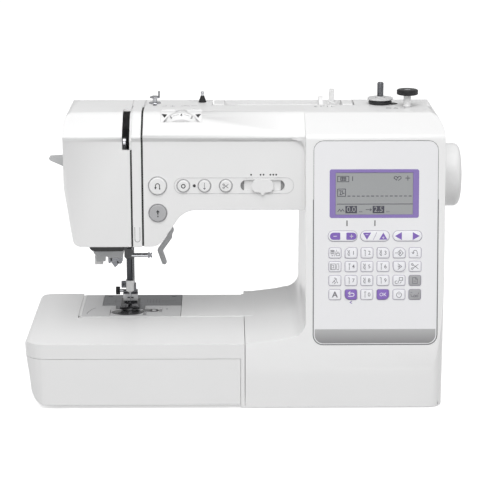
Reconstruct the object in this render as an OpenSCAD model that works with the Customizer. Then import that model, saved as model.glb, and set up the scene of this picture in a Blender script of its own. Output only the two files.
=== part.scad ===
// Free-arm sewing machine with a flat-bed table, a key panel and a lower rotary hook.
// X runs to the right, Y to the back and Z up; the origin is under the middle of the footprint.

/* [Whole machine] */
// Left end of the table, measured from the middle of the whole machine
left = -207.5; // [-214:0.5:-200]
// Depth of the base, front to back
base_d = 180; // [174:1:190]
// Height of the sewing bed
bed_z = 63; // [62:0.5:66]
// Height of the flat top
top_z = 268; // [266:0.5:274]
// Wall thickness of the moulded covers
wall = 2.5; // [2:0.1:3]
// Gap between moulded pieces that move or lift off
play = 0.3; // [0.2:0.05:0.4]
// Height of the rubber feet
foot_h = 1.5; // [1:0.1:3]

/* [Arm and head] */
// Front face of the arm, measured from the middle of the base
arm_front = 46; // [44:0.5:48]
// How far the top band stands out over the arm's front face
band_step = 2.5; // [1:0.5:3]
// Underside of the arm
arm_under_z = 179; // [177:0.5:181]
// Underside of the head
head_under_z = 144; // [142:0.5:145]
// Left end of the head
head_left = -170; // [-173:0.5:-168]
// Where the face cover ends
face_seam = -108.1; // [-109:0.1:-107.6]

/* [Column and base] */
// Left wall of the column
column_left = 53; // [51:0.5:55]
// Right wall of the column
column_right = 181; // [180:0.5:183]
// Left wall of the main base, where the table meets it
table_seam = -2.6; // [-6:0.2:0]
// Seam between the front and the rear cover
cover_seam = 10; // [10:0.5:10.5]
// Lean of the key panel, in degrees
panel_lean = 8.06; // [7:0.2:9]

/* [Free arm and table] */
// Left end of the free arm
arm_end = -163; // [-166:0.5:-160]
// Front of the free arm
free_arm_front = -2; // [-4:0.5:0]
// Back of the free arm
free_arm_back = 79; // [77:0.5:82]
// Underside of the free arm
free_arm_under = 24; // [20:0.5:25]
// Upper edge of the table's flap
flap_top = 48.5; // [44:0.5:50]

/* [Mechanism] */
// Needle bar, side to side
needle_x = -114.3; // [-115:0.1:-114]
// Needle bar and main shaft, front to back
shaft_y = 32; // [31.5:0.1:32.5]
// Height of the main shaft
shaft_z = 196; // [194:0.5:198]
// Diameter of the main shaft
shaft_d = 10; // [8:0.5:12]
// Running clearance of shafts, bars and pins in their bores
run_gap = 0.05; // [0.02:0.01:0.08]
// Stroke of the needle bar
stroke = 30; // [26:0.5:30]
// Diameter of the needle bar and of the presser bar
bar_d = 6.4; // [6:0.1:6.8]
// Height of the lower shaft
lower_z = 35; // [34.8:0.1:35.2]
// Height of the bobbin
bobbin_h = 11.5; // [10:0.1:11.6]
// Diameter of the bobbin
bobbin_d = 20.5; // [20:0.1:21]
// Height of the feed teeth over the bed when they are up
feed_rise = 1; // [0.8:0.1:1.2]
// Thickness of the needle plate
plate_t = 2.5; // [2:0.1:2.6]
// Length of the needle below the end of its bar
needle_l = 35; // [34:0.5:36]
// Diameter of the handwheel
wheel_d = 61; // [56:0.5:66]
// Width of the handwheel beside the column
wheel_w = 26.5; // [24:0.5:29]

/* [Top] */
// Diameter of the bobbin winder spindle
winder_d = 6; // [5.6:0.1:6.2]
// Height of the top of the winder spindle
winder_top = 288.5; // [284:0.5:292]
// Diameter of the horizontal spool pin
spool_pin_d = 6; // [5:0.1:7]
// Thickness of the carry handle
handle_t = 9; // [7:0.5:10]
// Diameter of the thread tension wheel
tension_d = 45; // [42:0.5:46]

/* [Keys] */
// Travel of the panel keys
key_travel = 0.8; // [0.5:0.1:1]
// Travel of the buttons on the arm
button_travel = 1; // [0.6:0.1:1.2]
// Diameter of the two large buttons
big_button_d = 16; // [14:0.5:17]
// Diameter of the three small buttons
small_button_d = 11; // [9:0.5:12]

/* [Hidden] */
$fn = 48;

front = -base_d/2;
back = base_d/2;
crease_z = top_z - 22;
seam_gap = 0.1;

// Points along a round corner about (cx, cy), from angle a0 to a1
function arc(cx, cy, r, a0, a1, n = 6) =
    [for (i = [0:n]) let (a = a0 + (a1 - a0)*i/n) [cx + r*cos(a), cy + r*sin(a)]];

// Outline of a rectangle with round corners about the origin
function rounded(w, h, r) = concat(
    arc(w/2 - r, h/2 - r, r, 0, 90, 4), arc(-w/2 + r, h/2 - r, r, 90, 180, 4),
    arc(-w/2 + r, -h/2 + r, r, 180, 270, 4), arc(w/2 - r, -h/2 + r, r, 270, 360, 4));

// A box given by its two corners
module block(a, b) { translate(a) cube(b - a); }

// Outlines drawn in X and Z, run along Y; in Y and Z, run along X
module along_y(y0, y1) { translate([0, y1, 0]) rotate([90, 0, 0]) linear_extrude(y1 - y0) children(); }
module along_x(x0, x1) { translate([x0, 0, 0]) rotate([90, 0, 90]) linear_extrude(x1 - x0) children(); }

// Round bars along each axis, from one end to the other
module rod_x(x0, x1, y, z, d) { translate([x0, y, z]) rotate([0, 90, 0]) cylinder(d = d, h = x1 - x0); }
module rod_y(y0, y1, x, z, d) { translate([x, y0, z]) rotate([-90, 0, 0]) cylinder(d = d, h = y1 - y0); }
module rod_z(z0, z1, x, y, d) { translate([x, y, z0]) cylinder(d = d, h = z1 - z0); }

// ---- Outer form of the arm, head and column; t is how far the surface is moved in ----

module arm_outline(t) {
    polygon(concat(
        arc(head_left + 10, top_z - 10, 10 - t, 90, 180),
        [[head_left + t, shaft_z + 5]],
        arc(head_left + 15, head_under_z + 8, 8 - t, 190, 270),
        arc(-90, head_under_z + 14, 14 - t, 270, 320, 4),
        arc(-47, arm_under_z - 22, 22 + t, 140, 90, 5),
        [[column_right - 16 - t, arm_under_z + t], [column_right - 16 - t, top_z - t]]));
}

module arm_profile(t) {
    polygon(concat(
        [[-arm_front + t, head_under_z - 20], [-arm_front + t, crease_z - 2]],
        arc(-arm_front - band_step + 4, crease_z + 1.5, 4 - t, 180, 137, 3),
        arc(-20, top_z - 12, 12 - t, 137, 90, 4),
        [[40, top_z - t]],
        arc(60, crease_z - 8, 27 - t, 70, 0, 6),
        [[87 - t, head_under_z - 20]]));
}

module column_outline(t) {
    polygon(concat(
        [[table_seam + t, foot_h + t - 0.01], [table_seam + t, bed_z - t]],
        [[6, bed_z - t], [30, bed_z + 3 - t]],
        arc(column_left - 14, bed_z + 19, 14 + t, 270, 360, 5),
        [[column_left + t, top_z - t]],
        arc(column_right - 14, top_z - 14, 14 - t, 90, 0),
        [[column_right - t, foot_h + t - 0.01]]));
}

// Front of the column at height z; the lower bend is where the base turns upright
function lean_y(z) = front + 3.8 + (z - bed_z)*tan(panel_lean);
bend_r = 60;
bend_z = bed_z - 3.8/tan(panel_lean) - bend_r*tan(panel_lean/2);

module column_profile(t) {
    polygon(concat(
        [[front + t, foot_h + t - 0.01]],
        arc(front + bend_r, bend_z, bend_r - t, 180, 180 - panel_lean, 2),
        arc(lean_y(crease_z + 1) + 7*cos(panel_lean), crease_z + 1, 7 - t, 180 - panel_lean, 116, 3),
        arc(-24, top_z - 12, 12 - t, 116, 90, 3),
        [[40, top_z - t]],
        arc(60, crease_z - 8, 27 - t, 70, 15, 5),
        [[back - t, bed_z + 30], [back - t, foot_h + t - 0.01]]));
}

// Plan of the column and base, with round corners on the right
module column_plan(t) {
    polygon(concat(
        [[table_seam + t, back - t], [table_seam + t, front + t]],
        arc(column_right - 14, front + 14, 14 - t, 270, 360),
        arc(column_right - 14, back - 14, 14 - t, 0, 90)));
}

module arm_form(t) {
    intersection() {
        along_y(-60, 90) arm_outline(t);
        along_x(head_left - 1, column_right - 2) arm_profile(t);
    }
}

module column_form(t) {
    intersection() {
        along_y(front - 1, back + 1) column_outline(t);
        along_x(table_seam - 1, column_right + 1) column_profile(t);
        linear_extrude(top_z + 1) column_plan(t);
    }
}

module body_form(t = 0) { arm_form(t); column_form(t); }

module body_shell() {
    difference() {
        body_form();
        body_form(wall);
    }
    // the band turns down beside the column and rounds off the arm's front face
    along_y(-arm_front - band_step, -arm_front + wall/2) polygon(concat(
        [[column_left + 1, crease_z + 1], [column_left - 12, crease_z + 1]],
        arc(column_left - 12, crease_z - 11, 11, 90, 0), [[column_left + 1, crease_z - 11]]));
}

// Places a thing on the leaning panel: x to the right, y up the panel, z out of it
panel_y0 = front + 4;
module on_panel() { translate([0, panel_y0, bed_z]) rotate([90 - panel_lean, 0, 0]) children(); }
function up_panel(z) = (z - 63)/cos(panel_lean);

// ---- Where things sit ----
lcd_w = 71;                                   // display window
lcd_h = 38.6;
lcd_z = 199.3;
key_x = [80, 94.8, 109.4, 124.2, 139, 153.6];     // columns of the key field
key_z = [145.3, 132.8, 120, 107.1];           // rows of the key field
key_w = 10.8;
key_h = 9.2;
rocker_x = [87, 116.6, 146.4];
rocker_w = 26.4;
rocker_z = 160.7;
panel_x0 = 60.2;
panel_x1 = 174.4;
panel_low = -2;                               // measured up the lean from the bed's height
panel_top = 186.2;
big_x = -83;
big_z = [202.5, 176.8];
small_x = [-59.2, -39.7, -20];
small_z = 202.5;
slider_x = 14;
slider_l = 41;
slider_h = 10.6;
slot_x0 = -115.1;
strip_x0 = -106.4;
strip_x1 = -98;
front_x0 = -96.2;
wheel_x = -61;
wheel_y = -23;
wheel_t = 16;
winder_x = 127;
winder_y = 18;
winder_run = 5;
stopper_x = 151.2;
stopper_y = 3;
spool_y = 33;
spool_z = 262;
handle_x = [-31, 101];
handle_y = [13, 78];
handle_axis_y = 20;
handle_axis_z = top_z - 0.4 - handle_t/2;
threader_z = 218;
lever_y = 62;
hook_r = 14.7;
hook_y = shaft_y - hook_r - 1;
presser_x = needle_x + 1;
presser_y = shaft_y + 11;
table_plan_r = 22;
table_low_r = 19.5;
pin_d = 3;

// Openings in the arm's front that the buttons and the slider come through
module button_holes() {
    for (z = big_z) rod_y(-arm_front - 5, -arm_front + 6, big_x, z, big_button_d + 2*play);
    for (x = small_x) rod_y(-arm_front - 5, -arm_front + 6, x, small_z, small_button_d + 2*play);
    along_y(-arm_front - 5, -arm_front + 6) translate([slider_x, small_z])
        polygon(rounded(slider_l, slider_h, slider_h/2 - 0.1));
}

// Window under the head that the bars and levers come through
module head_window() {
    block([-158, -32, head_under_z - 1], [-93, 76, head_under_z + wall + 1]);
}

// Slot for the take-up lever
module take_up_slot() {
    block([slot_x0, -60, crease_z - 10], [face_seam + 5, -8, top_z + 1]);
}

// Trough in the top for the folded handle and the spool
module handle_trough(t = 0) {
    block([handle_x[0] - 1.5 - t, handle_y[0] - 1 - t, top_z - handle_t - 6 - t],
        [handle_x[1] + 1.5 + t, handle_y[1] + 1 + t, top_z + 2]);
    block([-19 - t, handle_y[0] - 1 - t, top_z - 24 - t], [87 + t, 55 + t, top_z + 2]);
}

// Shallow channel behind the thread guide
module thread_channel(t = 0) {
    block([-97 - t, -2 - t, top_z - 5 - t], [-58 + t, 90, top_z + 2]);
}

module panel_recess(t) {
    on_panel() translate([(panel_x0 + panel_x1)/2, (panel_low + panel_top)/2, -2.6 - t])
        linear_extrude(6 + t) polygon(rounded(panel_x1 - panel_x0 + 2*t, panel_top - panel_low + 2*t, 9 + t));
}

// ---- Covers ----

// Front half of the arm, column and base
module front_cover() {
    color("white") difference() {
        union() {
            intersection() {
                union() { body_shell(); intersection() { body_form(); panel_recess(2); } }
                block([front_x0, front - 1, 0], [column_right + 1, cover_seam, top_z + 1]);
            }
            // post under the winder stopper
            rod_z(top_z - 8, top_z - 1, stopper_x, stopper_y, 12);
        }
        button_holes();
        panel_recess(0);
        // opening behind the panel for keys and display
        on_panel() translate([panel_x0 + 8, 8, -12]) cube([panel_x1 - panel_x0 - 16, panel_top - 16, 20]);
        // window over the tension wheel
        block([wheel_x - 19, -34, top_z - 13], [wheel_x + 19, -12, top_z + 2]);
        // bore of the winder stopper
        rod_z(top_z - 10, top_z + 1, stopper_x, stopper_y, 4 + 2*run_gap);
        // opening to the free arm
        block([table_seam - 1, free_arm_front + wall, free_arm_under + wall],
            [table_seam + wall + 1, cover_seam + 1, bed_z - wall]);
        head_window();
        base_mouth();
    }
}

// The covers are open below, where the base pan closes them
module base_mouth() {
    block([table_seam + 4, front + 4, 0], [column_right - 4, back - 4, foot_h + wall + 1]);
    // passage of the frame and the pan to the left
    block([table_seam - 1, 5.5, 0], [table_seam + wall + 2, 71, free_arm_under + wall + 1]);
}

// Rear half of the arm, column and base, with the trough for handle and spool
module rear_cover() {
    color("white") difference() {
        union() {
            intersection() {
                union() {
                    body_shell();
                    intersection() {
                        body_form();
                        union() { handle_trough(2); thread_channel(2); }
                    }
                }
                block([face_seam + 0.2, cover_seam + seam_gap, 0], [column_right + 1, back + 1, top_z + 1]);
            }
            // ears that carry the spool pin
            for (s = [-1, 1]) translate([0, spool_y + s*6.5 - 1.5, 0])
                block([77.5, 0, top_z - 24.5], [86, 3, top_z]);
        }
        difference() {
            union() { handle_trough(0); thread_channel(0); }
            for (s = [-1, 1]) translate([0, spool_y + s*6.5 - 1.5, 0])
                block([77.5, 0, top_z - 24.5], [86, 3, top_z]);
        }
        rod_y(spool_y - 9, spool_y + 9, 81.5, spool_z, pin_d + 2*run_gap);
        // bores of the handle's pins
        rod_x(handle_x[0] - 6, handle_x[1] + 6, handle_axis_y, handle_axis_z, pin_d + 2*run_gap);
        // slot of the winder spindle
        hull() for (x = [winder_x, winder_x + winder_run]) rod_z(top_z - 6, top_z + 1, x, winder_y, 8);
        // hole for the handwheel's hub
        rod_x(column_right - 6, column_right + 1, shaft_y, shaft_z, 24);
        // slot of the presser lever
        block([lever_x - 14, lever_y - 8, head_under_z - 2], [lever_x + 22, lever_y + 5, lever_z + 13]);
        // sockets and switch
        block([column_right - 6, 22, 18], [column_right + 1, 62, 34]);
        block([column_right - 6, 26, 40], [column_right + 1, 46, 54]);
        block([table_seam - 1, cover_seam - 1, free_arm_under + wall],
            [table_seam + wall + 1, free_arm_back - wall, bed_z - wall]);
        head_window();
        base_mouth();
    }
}

// Left end of the head, in front and behind
module face_cover() {
    color("white") difference() {
        intersection() {
            body_shell();
            block([head_left - 1, -60, head_under_z - 2], [face_seam, back + 1, top_z + 1]);
        }
        take_up_slot();
        head_window();
        // slot of the threader lever
        block([head_left - 2, -3, threader_z - 45], [head_left + 7.6, 3, threader_z + 4]);
    }
}

// Strip between the two thread channels, on the backing that closes them
module thread_strip() {
    y0 = -arm_front + wall + 0.1;
    color("white") {
        difference() {
            intersection() {
                body_shell();
                block([strip_x0, -60, head_under_z - 2], [strip_x1, cover_seam, top_z + 1]);
            }
            head_window();
        }
        block([strip_x0 + 1, y0 - 1, head_under_z + 8], [strip_x1 - 1, y0 + 1, crease_z - 4]);
        along_x(face_seam - 0.6, front_x0 + 1.5) polygon([[y0, head_under_z + 6], [y0, crease_z - 2],
            [-27, top_z - 6.5], [-18, top_z - wall - 0.1], [cover_seam, top_z - wall - 0.1],
            [cover_seam, top_z - wall - 1.6], [-17, top_z - wall - 1.6], [y0 + 1.6, crease_z - 3],
            [y0 + 1.6, head_under_z + 6]]);
    }
}

// ---- Free arm ----
module arm_section(t) {
    polygon(concat(
        arc(free_arm_front + 4, bed_z - 4, 4 - min(t, 3), 180, 90, 4),
        arc(free_arm_back - 4, bed_z - 4, 4 - min(t, 3), 90, 0, 4),
        arc(free_arm_back - 8, free_arm_under + 8, 8 - t, 0, -90, 4),
        arc(free_arm_front + 8, free_arm_under + 8, 8 - t, 270, 180, 4)));
}

plate_x0 = -142;
plate_x1 = -64;
steel_front = 37.5;
tongue_x = [-128, -100];
tongue_front = hook_y + bobbin_d/2 + 0.2;

// Opening for the needle plate and its plastic cover
module plate_opening(t = 0) {
    block([arm_end + 3 - t, free_arm_front + 3 - t, bed_z - plate_t - 2],
        [plate_x1 + t, free_arm_back - 3 + t, bed_z + 1]);
}

module bed_cover() {
    color("white") difference() {
        intersection() {
            along_x(arm_end, table_seam - seam_gap) arm_section(0);
            linear_extrude(100) polygon(concat(
                [[table_seam, -20], [table_seam, 90]],
                arc(arm_end + 8, free_arm_back - 8, 8, 90, 180, 4),
                arc(arm_end + 8, free_arm_front + 8, 8, 180, 270, 4)));
        }
        intersection() {
            along_x(arm_end + wall, table_seam + 1) arm_section(wall);
            linear_extrude(100) polygon(concat(
                [[table_seam + 2, -20], [table_seam + 2, 90]],
                arc(arm_end + 8, free_arm_back - 8, 8 - wall, 90, 180, 4),
                arc(arm_end + 8, free_arm_front + 8, 8 - wall, 180, 270, 4)));
        }
        plate_opening(0.1);
        // hole for the frame's foot
        block([-55, 59.5, free_arm_under - 1], [-45, 67.5, free_arm_under + wall + 1]);
    }
    // ledges that carry the plates
    color("white") for (y = [free_arm_front + wall - 0.1, free_arm_back - wall - 3.9])
        block([arm_end + 9, y, bed_z - plate_t - 2.5], [plate_x1 + 4, y + 4, bed_z - plate_t]);
}

// Steel plate with the needle slot and the feed slots
row_w = 3;
row_x = [needle_x - 6.5, needle_x + 6.5];
feed_play = 2.7;
row_y = [tongue_front + feed_play + 0.7, 46];
module needle_plate() {
    color("dimgray") difference() {
        union() {
            block([plate_x0, steel_front, bed_z - plate_t], [plate_x1 - play, free_arm_back - 3.2, bed_z]);
            block([tongue_x[0], tongue_front, bed_z - plate_t], [tongue_x[1], steel_front + 1, bed_z]);
        }
        hull() for (s = [-1, 1]) rod_z(bed_z - 5, bed_z + 1, needle_x + s*3, shaft_y, 1.6);
        for (x = row_x) block([x - row_w/2 - 0.5, row_y[0] - feed_play, bed_z - 5],
            [x + row_w/2 + 0.5, row_y[1] + feed_play, bed_z + 1]);
        block([needle_x - 2.5, 38 - feed_play + 0.5, bed_z - 5], [needle_x + 2.5, row_y[1] + feed_play, bed_z + 1]);
        for (x = [plate_x0 + 6, plate_x1 - 8]) rod_z(bed_z - 5, bed_z + 1, x, free_arm_back - 9, 4.6);
    }
    // the two plate screws
    color("silver") for (x = [plate_x0 + 6, plate_x1 - 8]) {
        rod_z(bed_z - 0.9, bed_z - 0.1, x, free_arm_back - 9, 4.4);
        rod_z(bed_z - 6, bed_z - 0.9, x, free_arm_back - 9, 2.6);
    }
}

// Moulded cover in front and to the left of the steel plate, with the bobbin opening
bobbin_lid = [-133, -100.5, 4.5];
latch_y = [16, tongue_front - 2*play];
latch_l = 15;
latch_run = 2.5;
module bobbin_mouth(t) {
    block([bobbin_lid[0] - t, bobbin_lid[2] - t, bed_z - plate_t - 1],
        [bobbin_lid[1] + t + latch_run, tongue_front - play + t, bed_z + 1]);
    block([bobbin_lid[1] - 1, latch_y[0] - t, bed_z - plate_t - 1],
        [bobbin_lid[1] + latch_l + t + latch_run, latch_y[1] + play + t, bed_z + 1]);
}

module plate_cover() {
    color("gainsboro") difference() {
        block([arm_end + 3, free_arm_front + 3, bed_z - plate_t], [plate_x1 - play, free_arm_back - 3.2, bed_z]);
        block([plate_x0 - play, steel_front - play, bed_z - 5], [plate_x1 + 1, free_arm_back, bed_z + 1]);
        block([tongue_x[0] - play, tongue_front - play, bed_z - 5], [tongue_x[1] + play, steel_front + 1, bed_z + 1]);
        bobbin_mouth(play);
    }
}

// Clear lid over the bobbin, with its latch on the right
module bobbin_cover() {
    color([0.4, 0.4, 0.42, 0.6]) difference() {
        block([bobbin_lid[0], bobbin_lid[2], bed_z - plate_t], [bobbin_lid[1], tongue_front - 2*play, bed_z - 0.1]);
        // underside is thinned over the bobbin
        rod_z(bed_z - plate_t - 1, bed_z - plate_t + 0.8, needle_x, hook_y, bobbin_d - 1);
    }
    color("gainsboro") block([bobbin_lid[1], latch_y[0], bed_z - plate_t],
        [bobbin_lid[1] + latch_l, latch_y[1], bed_z - 0.1]);
}

// ---- Base pan and feet ----
module base_pan() {
    color("whitesmoke") difference() {
        union() {
            block([table_seam + 4.2, front + 4.2, foot_h], [column_right - 4.2, back - 4.2, foot_h + wall]);
            block([-66, 8, foot_h], [table_seam + 5, 70, foot_h + wall]);
            for (y = [8, 68]) block([-66, y, foot_h], [table_seam + 5, y + 2, foot_h + 8]);
        }
        for (p = foot_places) rod_z(foot_h - 1, foot_h + 1.2, p[0], p[1], 12.4);
        // openings for air
        for (i = [0:7]) block([60 + 10*i, 20, 0], [64 + 10*i, 60, foot_h + wall + 1]);
    }
}

foot_places = [[16, front + 16], [column_right - 18, front + 16], [column_right - 18, back - 16],
    [16, back - 16], [-56, 39]];
module rubber_feet() {
    color("dimgray") for (p = foot_places) rod_z(0, foot_h + 1.2, p[0], p[1], 12);
}

// ---- Flat-bed table ----
module table_plan(t) {
    polygon(concat(
        [[table_seam - play - t, free_arm_front - play - t], [table_seam - play - t, front + t]],
        arc(left + table_plan_r, front + table_plan_r, table_plan_r - t, 270, 180),
        arc(left + 14, free_arm_back - 11, 14 - t, 180, 90, 4),
        [[arm_end - play - t, free_arm_back + 3 - t], [arm_end - play - t, free_arm_front - play - t]]));
}

module table_outline(t) {
    polygon(concat(
        [[table_seam, foot_h + t]],
        arc(left + table_low_r + 6, foot_h + table_low_r, table_low_r - t, 270, 188, 6),
        [[left + 4.2 + t, bed_z - 29], [left + 1.5 + t, bed_z - 14], [left + t, bed_z - 5]],
        arc(left + 5, bed_z - 5, 5 - t, 180, 90, 4),
        [[table_seam, bed_z - t]]));
}

module table_form(t) {
    intersection() {
        linear_extrude(bed_z + 1) table_plan(t);
        along_y(front - 1, back) table_outline(t);
    }
}

// Region of the front wall that belongs to the flap
flap_axis_y = front + 4.5;
flap_axis_z = foot_h + 4.7;
flap_low = flap_axis_z - 2.2;
flap_wrap = 14;
module flap_region(t) {
    along_y(front - 1, front + flap_wrap + 2*t) polygon(concat(
        [[table_seam - play - 4 + t, flap_low - t], [table_seam - play - 4 + t, flap_top + t]],
        [[left - 5, flap_top + t], [left - 5, flap_low - t]]));
}

module extension_table() {
    color("white") difference() {
        table_form(0);
        table_form(wall);
        flap_region(play);
        // room for the flap's lower edge to swing inward
        block([left - 5, front - 1, 0], [table_seam - 4, flap_axis_y + 2.1, flap_low]);
    }
    // partition behind the compartment and ears for the flap's pins
    color("white") {
        block([arm_end + 3, free_arm_front - 12, foot_h + 1], [table_seam - play - 1, free_arm_front - 10, bed_z - wall + 0.1]);
        for (x = [left + 40, table_seam - 14]) difference() {
            union() {
                block([x, flap_axis_y, flap_axis_z - 1.7], [x + 4, flap_axis_y + 6, flap_axis_z + 1.7]);
                block([x, flap_axis_y + 2.5, foot_h + 1], [x + 4, flap_axis_y + 6, flap_axis_z]);
                rod_x(x, x + 4, flap_axis_y, flap_axis_z, 3.4);
            }
            rod_x(x - 1, x + 5, flap_axis_y, flap_axis_z, flap_pin_d + 2*run_gap);
        }
        for (p = [[left + 30, front + 24], [left + 26, 66], [-24, front + 24]])
            rod_z(0, foot_h + 0.5, p[0], p[1], 12);
    }
}

// Flap over the accessory compartment, on two pins near its lower edge
flap_pin_d = 1.6;
module accessory_lid() {
    color("white") {
        intersection() {
            difference() {
                table_form(0);
                table_form(wall);
                block([left + 20, front + wall, 0], [table_seam, front + 30, flap_axis_z + 2]);
            }
            flap_region(0);
        }
        for (x = [left + 40, table_seam - 14]) {
            // arm from the flap to the pin, beside the table's ear
            block([x + 4.3, front + wall - 0.2, flap_axis_z - 1.1], [x + 7.3, flap_axis_y, flap_axis_z + 1.1]);
            rod_x(x + 4.3, x + 7.3, flap_axis_y, flap_axis_z, 2.2);
            rod_x(x, x + 5, flap_axis_y, flap_axis_z, flap_pin_d);
        }
    }
}

// Top handle: two arms and a bar, folded down into the trough
module handle_side() {
    polygon(concat(
        arc(handle_axis_y, handle_axis_z, handle_t/2, 90, 270, 8),
        [[56, handle_axis_z - handle_t/2], [58, top_z - 13], [handle_y[1] - 2, top_z - 13]],
        arc(60, crease_z - 8, 26.6, 63, 70, 2),
        [[40, top_z - 0.4]]));
}
module carry_handle() {
    color("white") {
        difference() {
            along_x(handle_x[0], handle_x[1]) handle_side();
            block([handle_x[0] + 10, 0, 0], [handle_x[1] - 10, 57, 400]);
        }
        for (x = [handle_x[0] - 3.3, handle_x[1] - 1])
            rod_x(x, x + 4.3, handle_axis_y, handle_axis_z, pin_d);
    }
}

// ---- Key panel ----
module key_outline(x, z, w, h, r, grow = 0) {
    translate([x, up_panel(z)]) polygon(rounded(w + 2*grow, h + 2*grow, r + grow));
}

module panel_frame() {
    color("whitesmoke") on_panel() difference() {
        translate([(panel_x0 + panel_x1)/2, (panel_low + panel_top)/2, -2.6]) linear_extrude(2.6)
            polygon(rounded(panel_x1 - panel_x0 - 2*play, panel_top - panel_low - 2*play, 9 - play));
        translate([0, 0, -4]) linear_extrude(6) {
            for (x = key_x, z = key_z) key_outline(x, z, key_w, key_h, 1.5, play);
            for (x = rocker_x) key_outline(x, rocker_z, rocker_w, key_h, 4.5, play);
            key_outline((panel_x0 + panel_x1)/2 - 1.5, lcd_z, lcd_w, lcd_h, 1, play);
        }
    }
}

// Glass of the display with the circuit board that carries it and the keys
module display() {
    color("lightslategray") on_panel() {
        translate([0, 0, -7.4]) linear_extrude(7) key_outline((panel_x0 + panel_x1)/2 - 1.5, lcd_z, lcd_w, lcd_h, 1);
        difference() {
            translate([70, 10, -9]) cube([95, 163, 1.6]);
            for (x = [90, 146]) translate([x, 60, -10]) cylinder(d = 3, h = 3);
        }
        for (x = [73, 162], y = [14, 169]) translate([x, y, -7.5]) cylinder(d = 5, h = 4.9);
    }
}

// Silicone mat with the twenty-four keys moulded on it
module keypad() {
    color("white") on_panel() {
        translate([0, 0, -2.9]) linear_extrude(3.7) for (x = key_x, z = key_z) key_outline(x, z, key_w, key_h, 1.5);
        translate([74.4, up_panel(key_z[3]) - 6, -4.4]) cube([88, up_panel(key_z[0]) - up_panel(key_z[3]) + 12, 1.5]);
    }
}

// Rocker key: a pill that tips to the left or the right on a ridge
module rocker(x) {
    color("white") on_panel() {
        translate([0, 0, -5.5]) linear_extrude(6.4) key_outline(x, rocker_z, rocker_w, key_h, 4.5);
        translate([x - 1, up_panel(rocker_z) - 4, -7.2]) cube([2, 8, 1.8]);
    }
}
module rocker_minus_plus() { rocker(rocker_x[0]); }
module rocker_down_up() { rocker(rocker_x[1]); }
module rocker_left_right() { rocker(rocker_x[2]); }

// Round push button with a flange behind the cover's wall
module push_button(x, z, d) {
    rod_y(-arm_front - 2, -arm_front + wall + play + 1.5, x, z, d);
    rod_y(-arm_front + wall + play, -arm_front + wall + play + 1.5, x, z, d + 3);
    rod_y(-arm_front + wall + play + 1.4, -arm_front + wall + play + 7, x, z, 5);
}
module start_stop_button() { color("silver") push_button(big_x, big_z[1], big_button_d); }
module reverse_button() { color("white") push_button(big_x, big_z[0], big_button_d); }
module reinforce_button() { color("white") push_button(small_x[0], small_z, small_button_d); }
module needle_button() { color("white") push_button(small_x[1], small_z, small_button_d); }
module cutter_button() { color("white") push_button(small_x[2], small_z, small_button_d); }

module speed_slider() {
    color("white") {
        along_y(-arm_front - 2.5, -arm_front + wall + play + 0.1) translate([slider_x, small_z])
            polygon(rounded(20, slider_h - 2*play, slider_h/2 - play - 0.1));
        along_y(-arm_front - 2.5, -arm_front - 0.4) translate([slider_x, small_z]) {
            polygon(rounded(20, slider_h + 1.4, 5));
            polygon([[-3, -5], [3, -5], [0.6, -8.6], [-0.6, -8.6]]);
        }
        block([slider_x - 17, -arm_front + wall + play, small_z - slider_h/2 - 3],
            [slider_x + 17, -arm_front + wall + play + 1.5, small_z + slider_h/2 + 3]);
    }
}

// ---- Mechanism ----
crank_x = -92;
crank_r = stroke/2;
rod_x0 = -104;
rod_x1 = -99.4;
stud_z = shaft_z - crank_r - 24;
bar_foot = 88;
belt_x = [84, 92];
timing_x = [102, 112];
motor_y = -28;
motor_z = 62;
big_pulley_r = 25;
small_pulley_r = 8;
timing_r = 14;
gear_low_r = 8;
gear_hook_r = shaft_y - hook_y - gear_low_r - play;
feed_travel = 2.5;
feed_rod_x = [needle_x - 7.7, needle_x + 8.3];
feed_rod_z = 48.5;
feed_drop = feed_rise + 0.6;
dog_top = bed_z + feed_rise;
threader_x = -129;
threader_y = 20;
knee_x = -144;
guide_y = 32;
take_up_y = 12;
take_up_z = 200;
take_up_l = 72;
take_up_a = 38;
lever_x = -84;
lever_z = 158;

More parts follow.
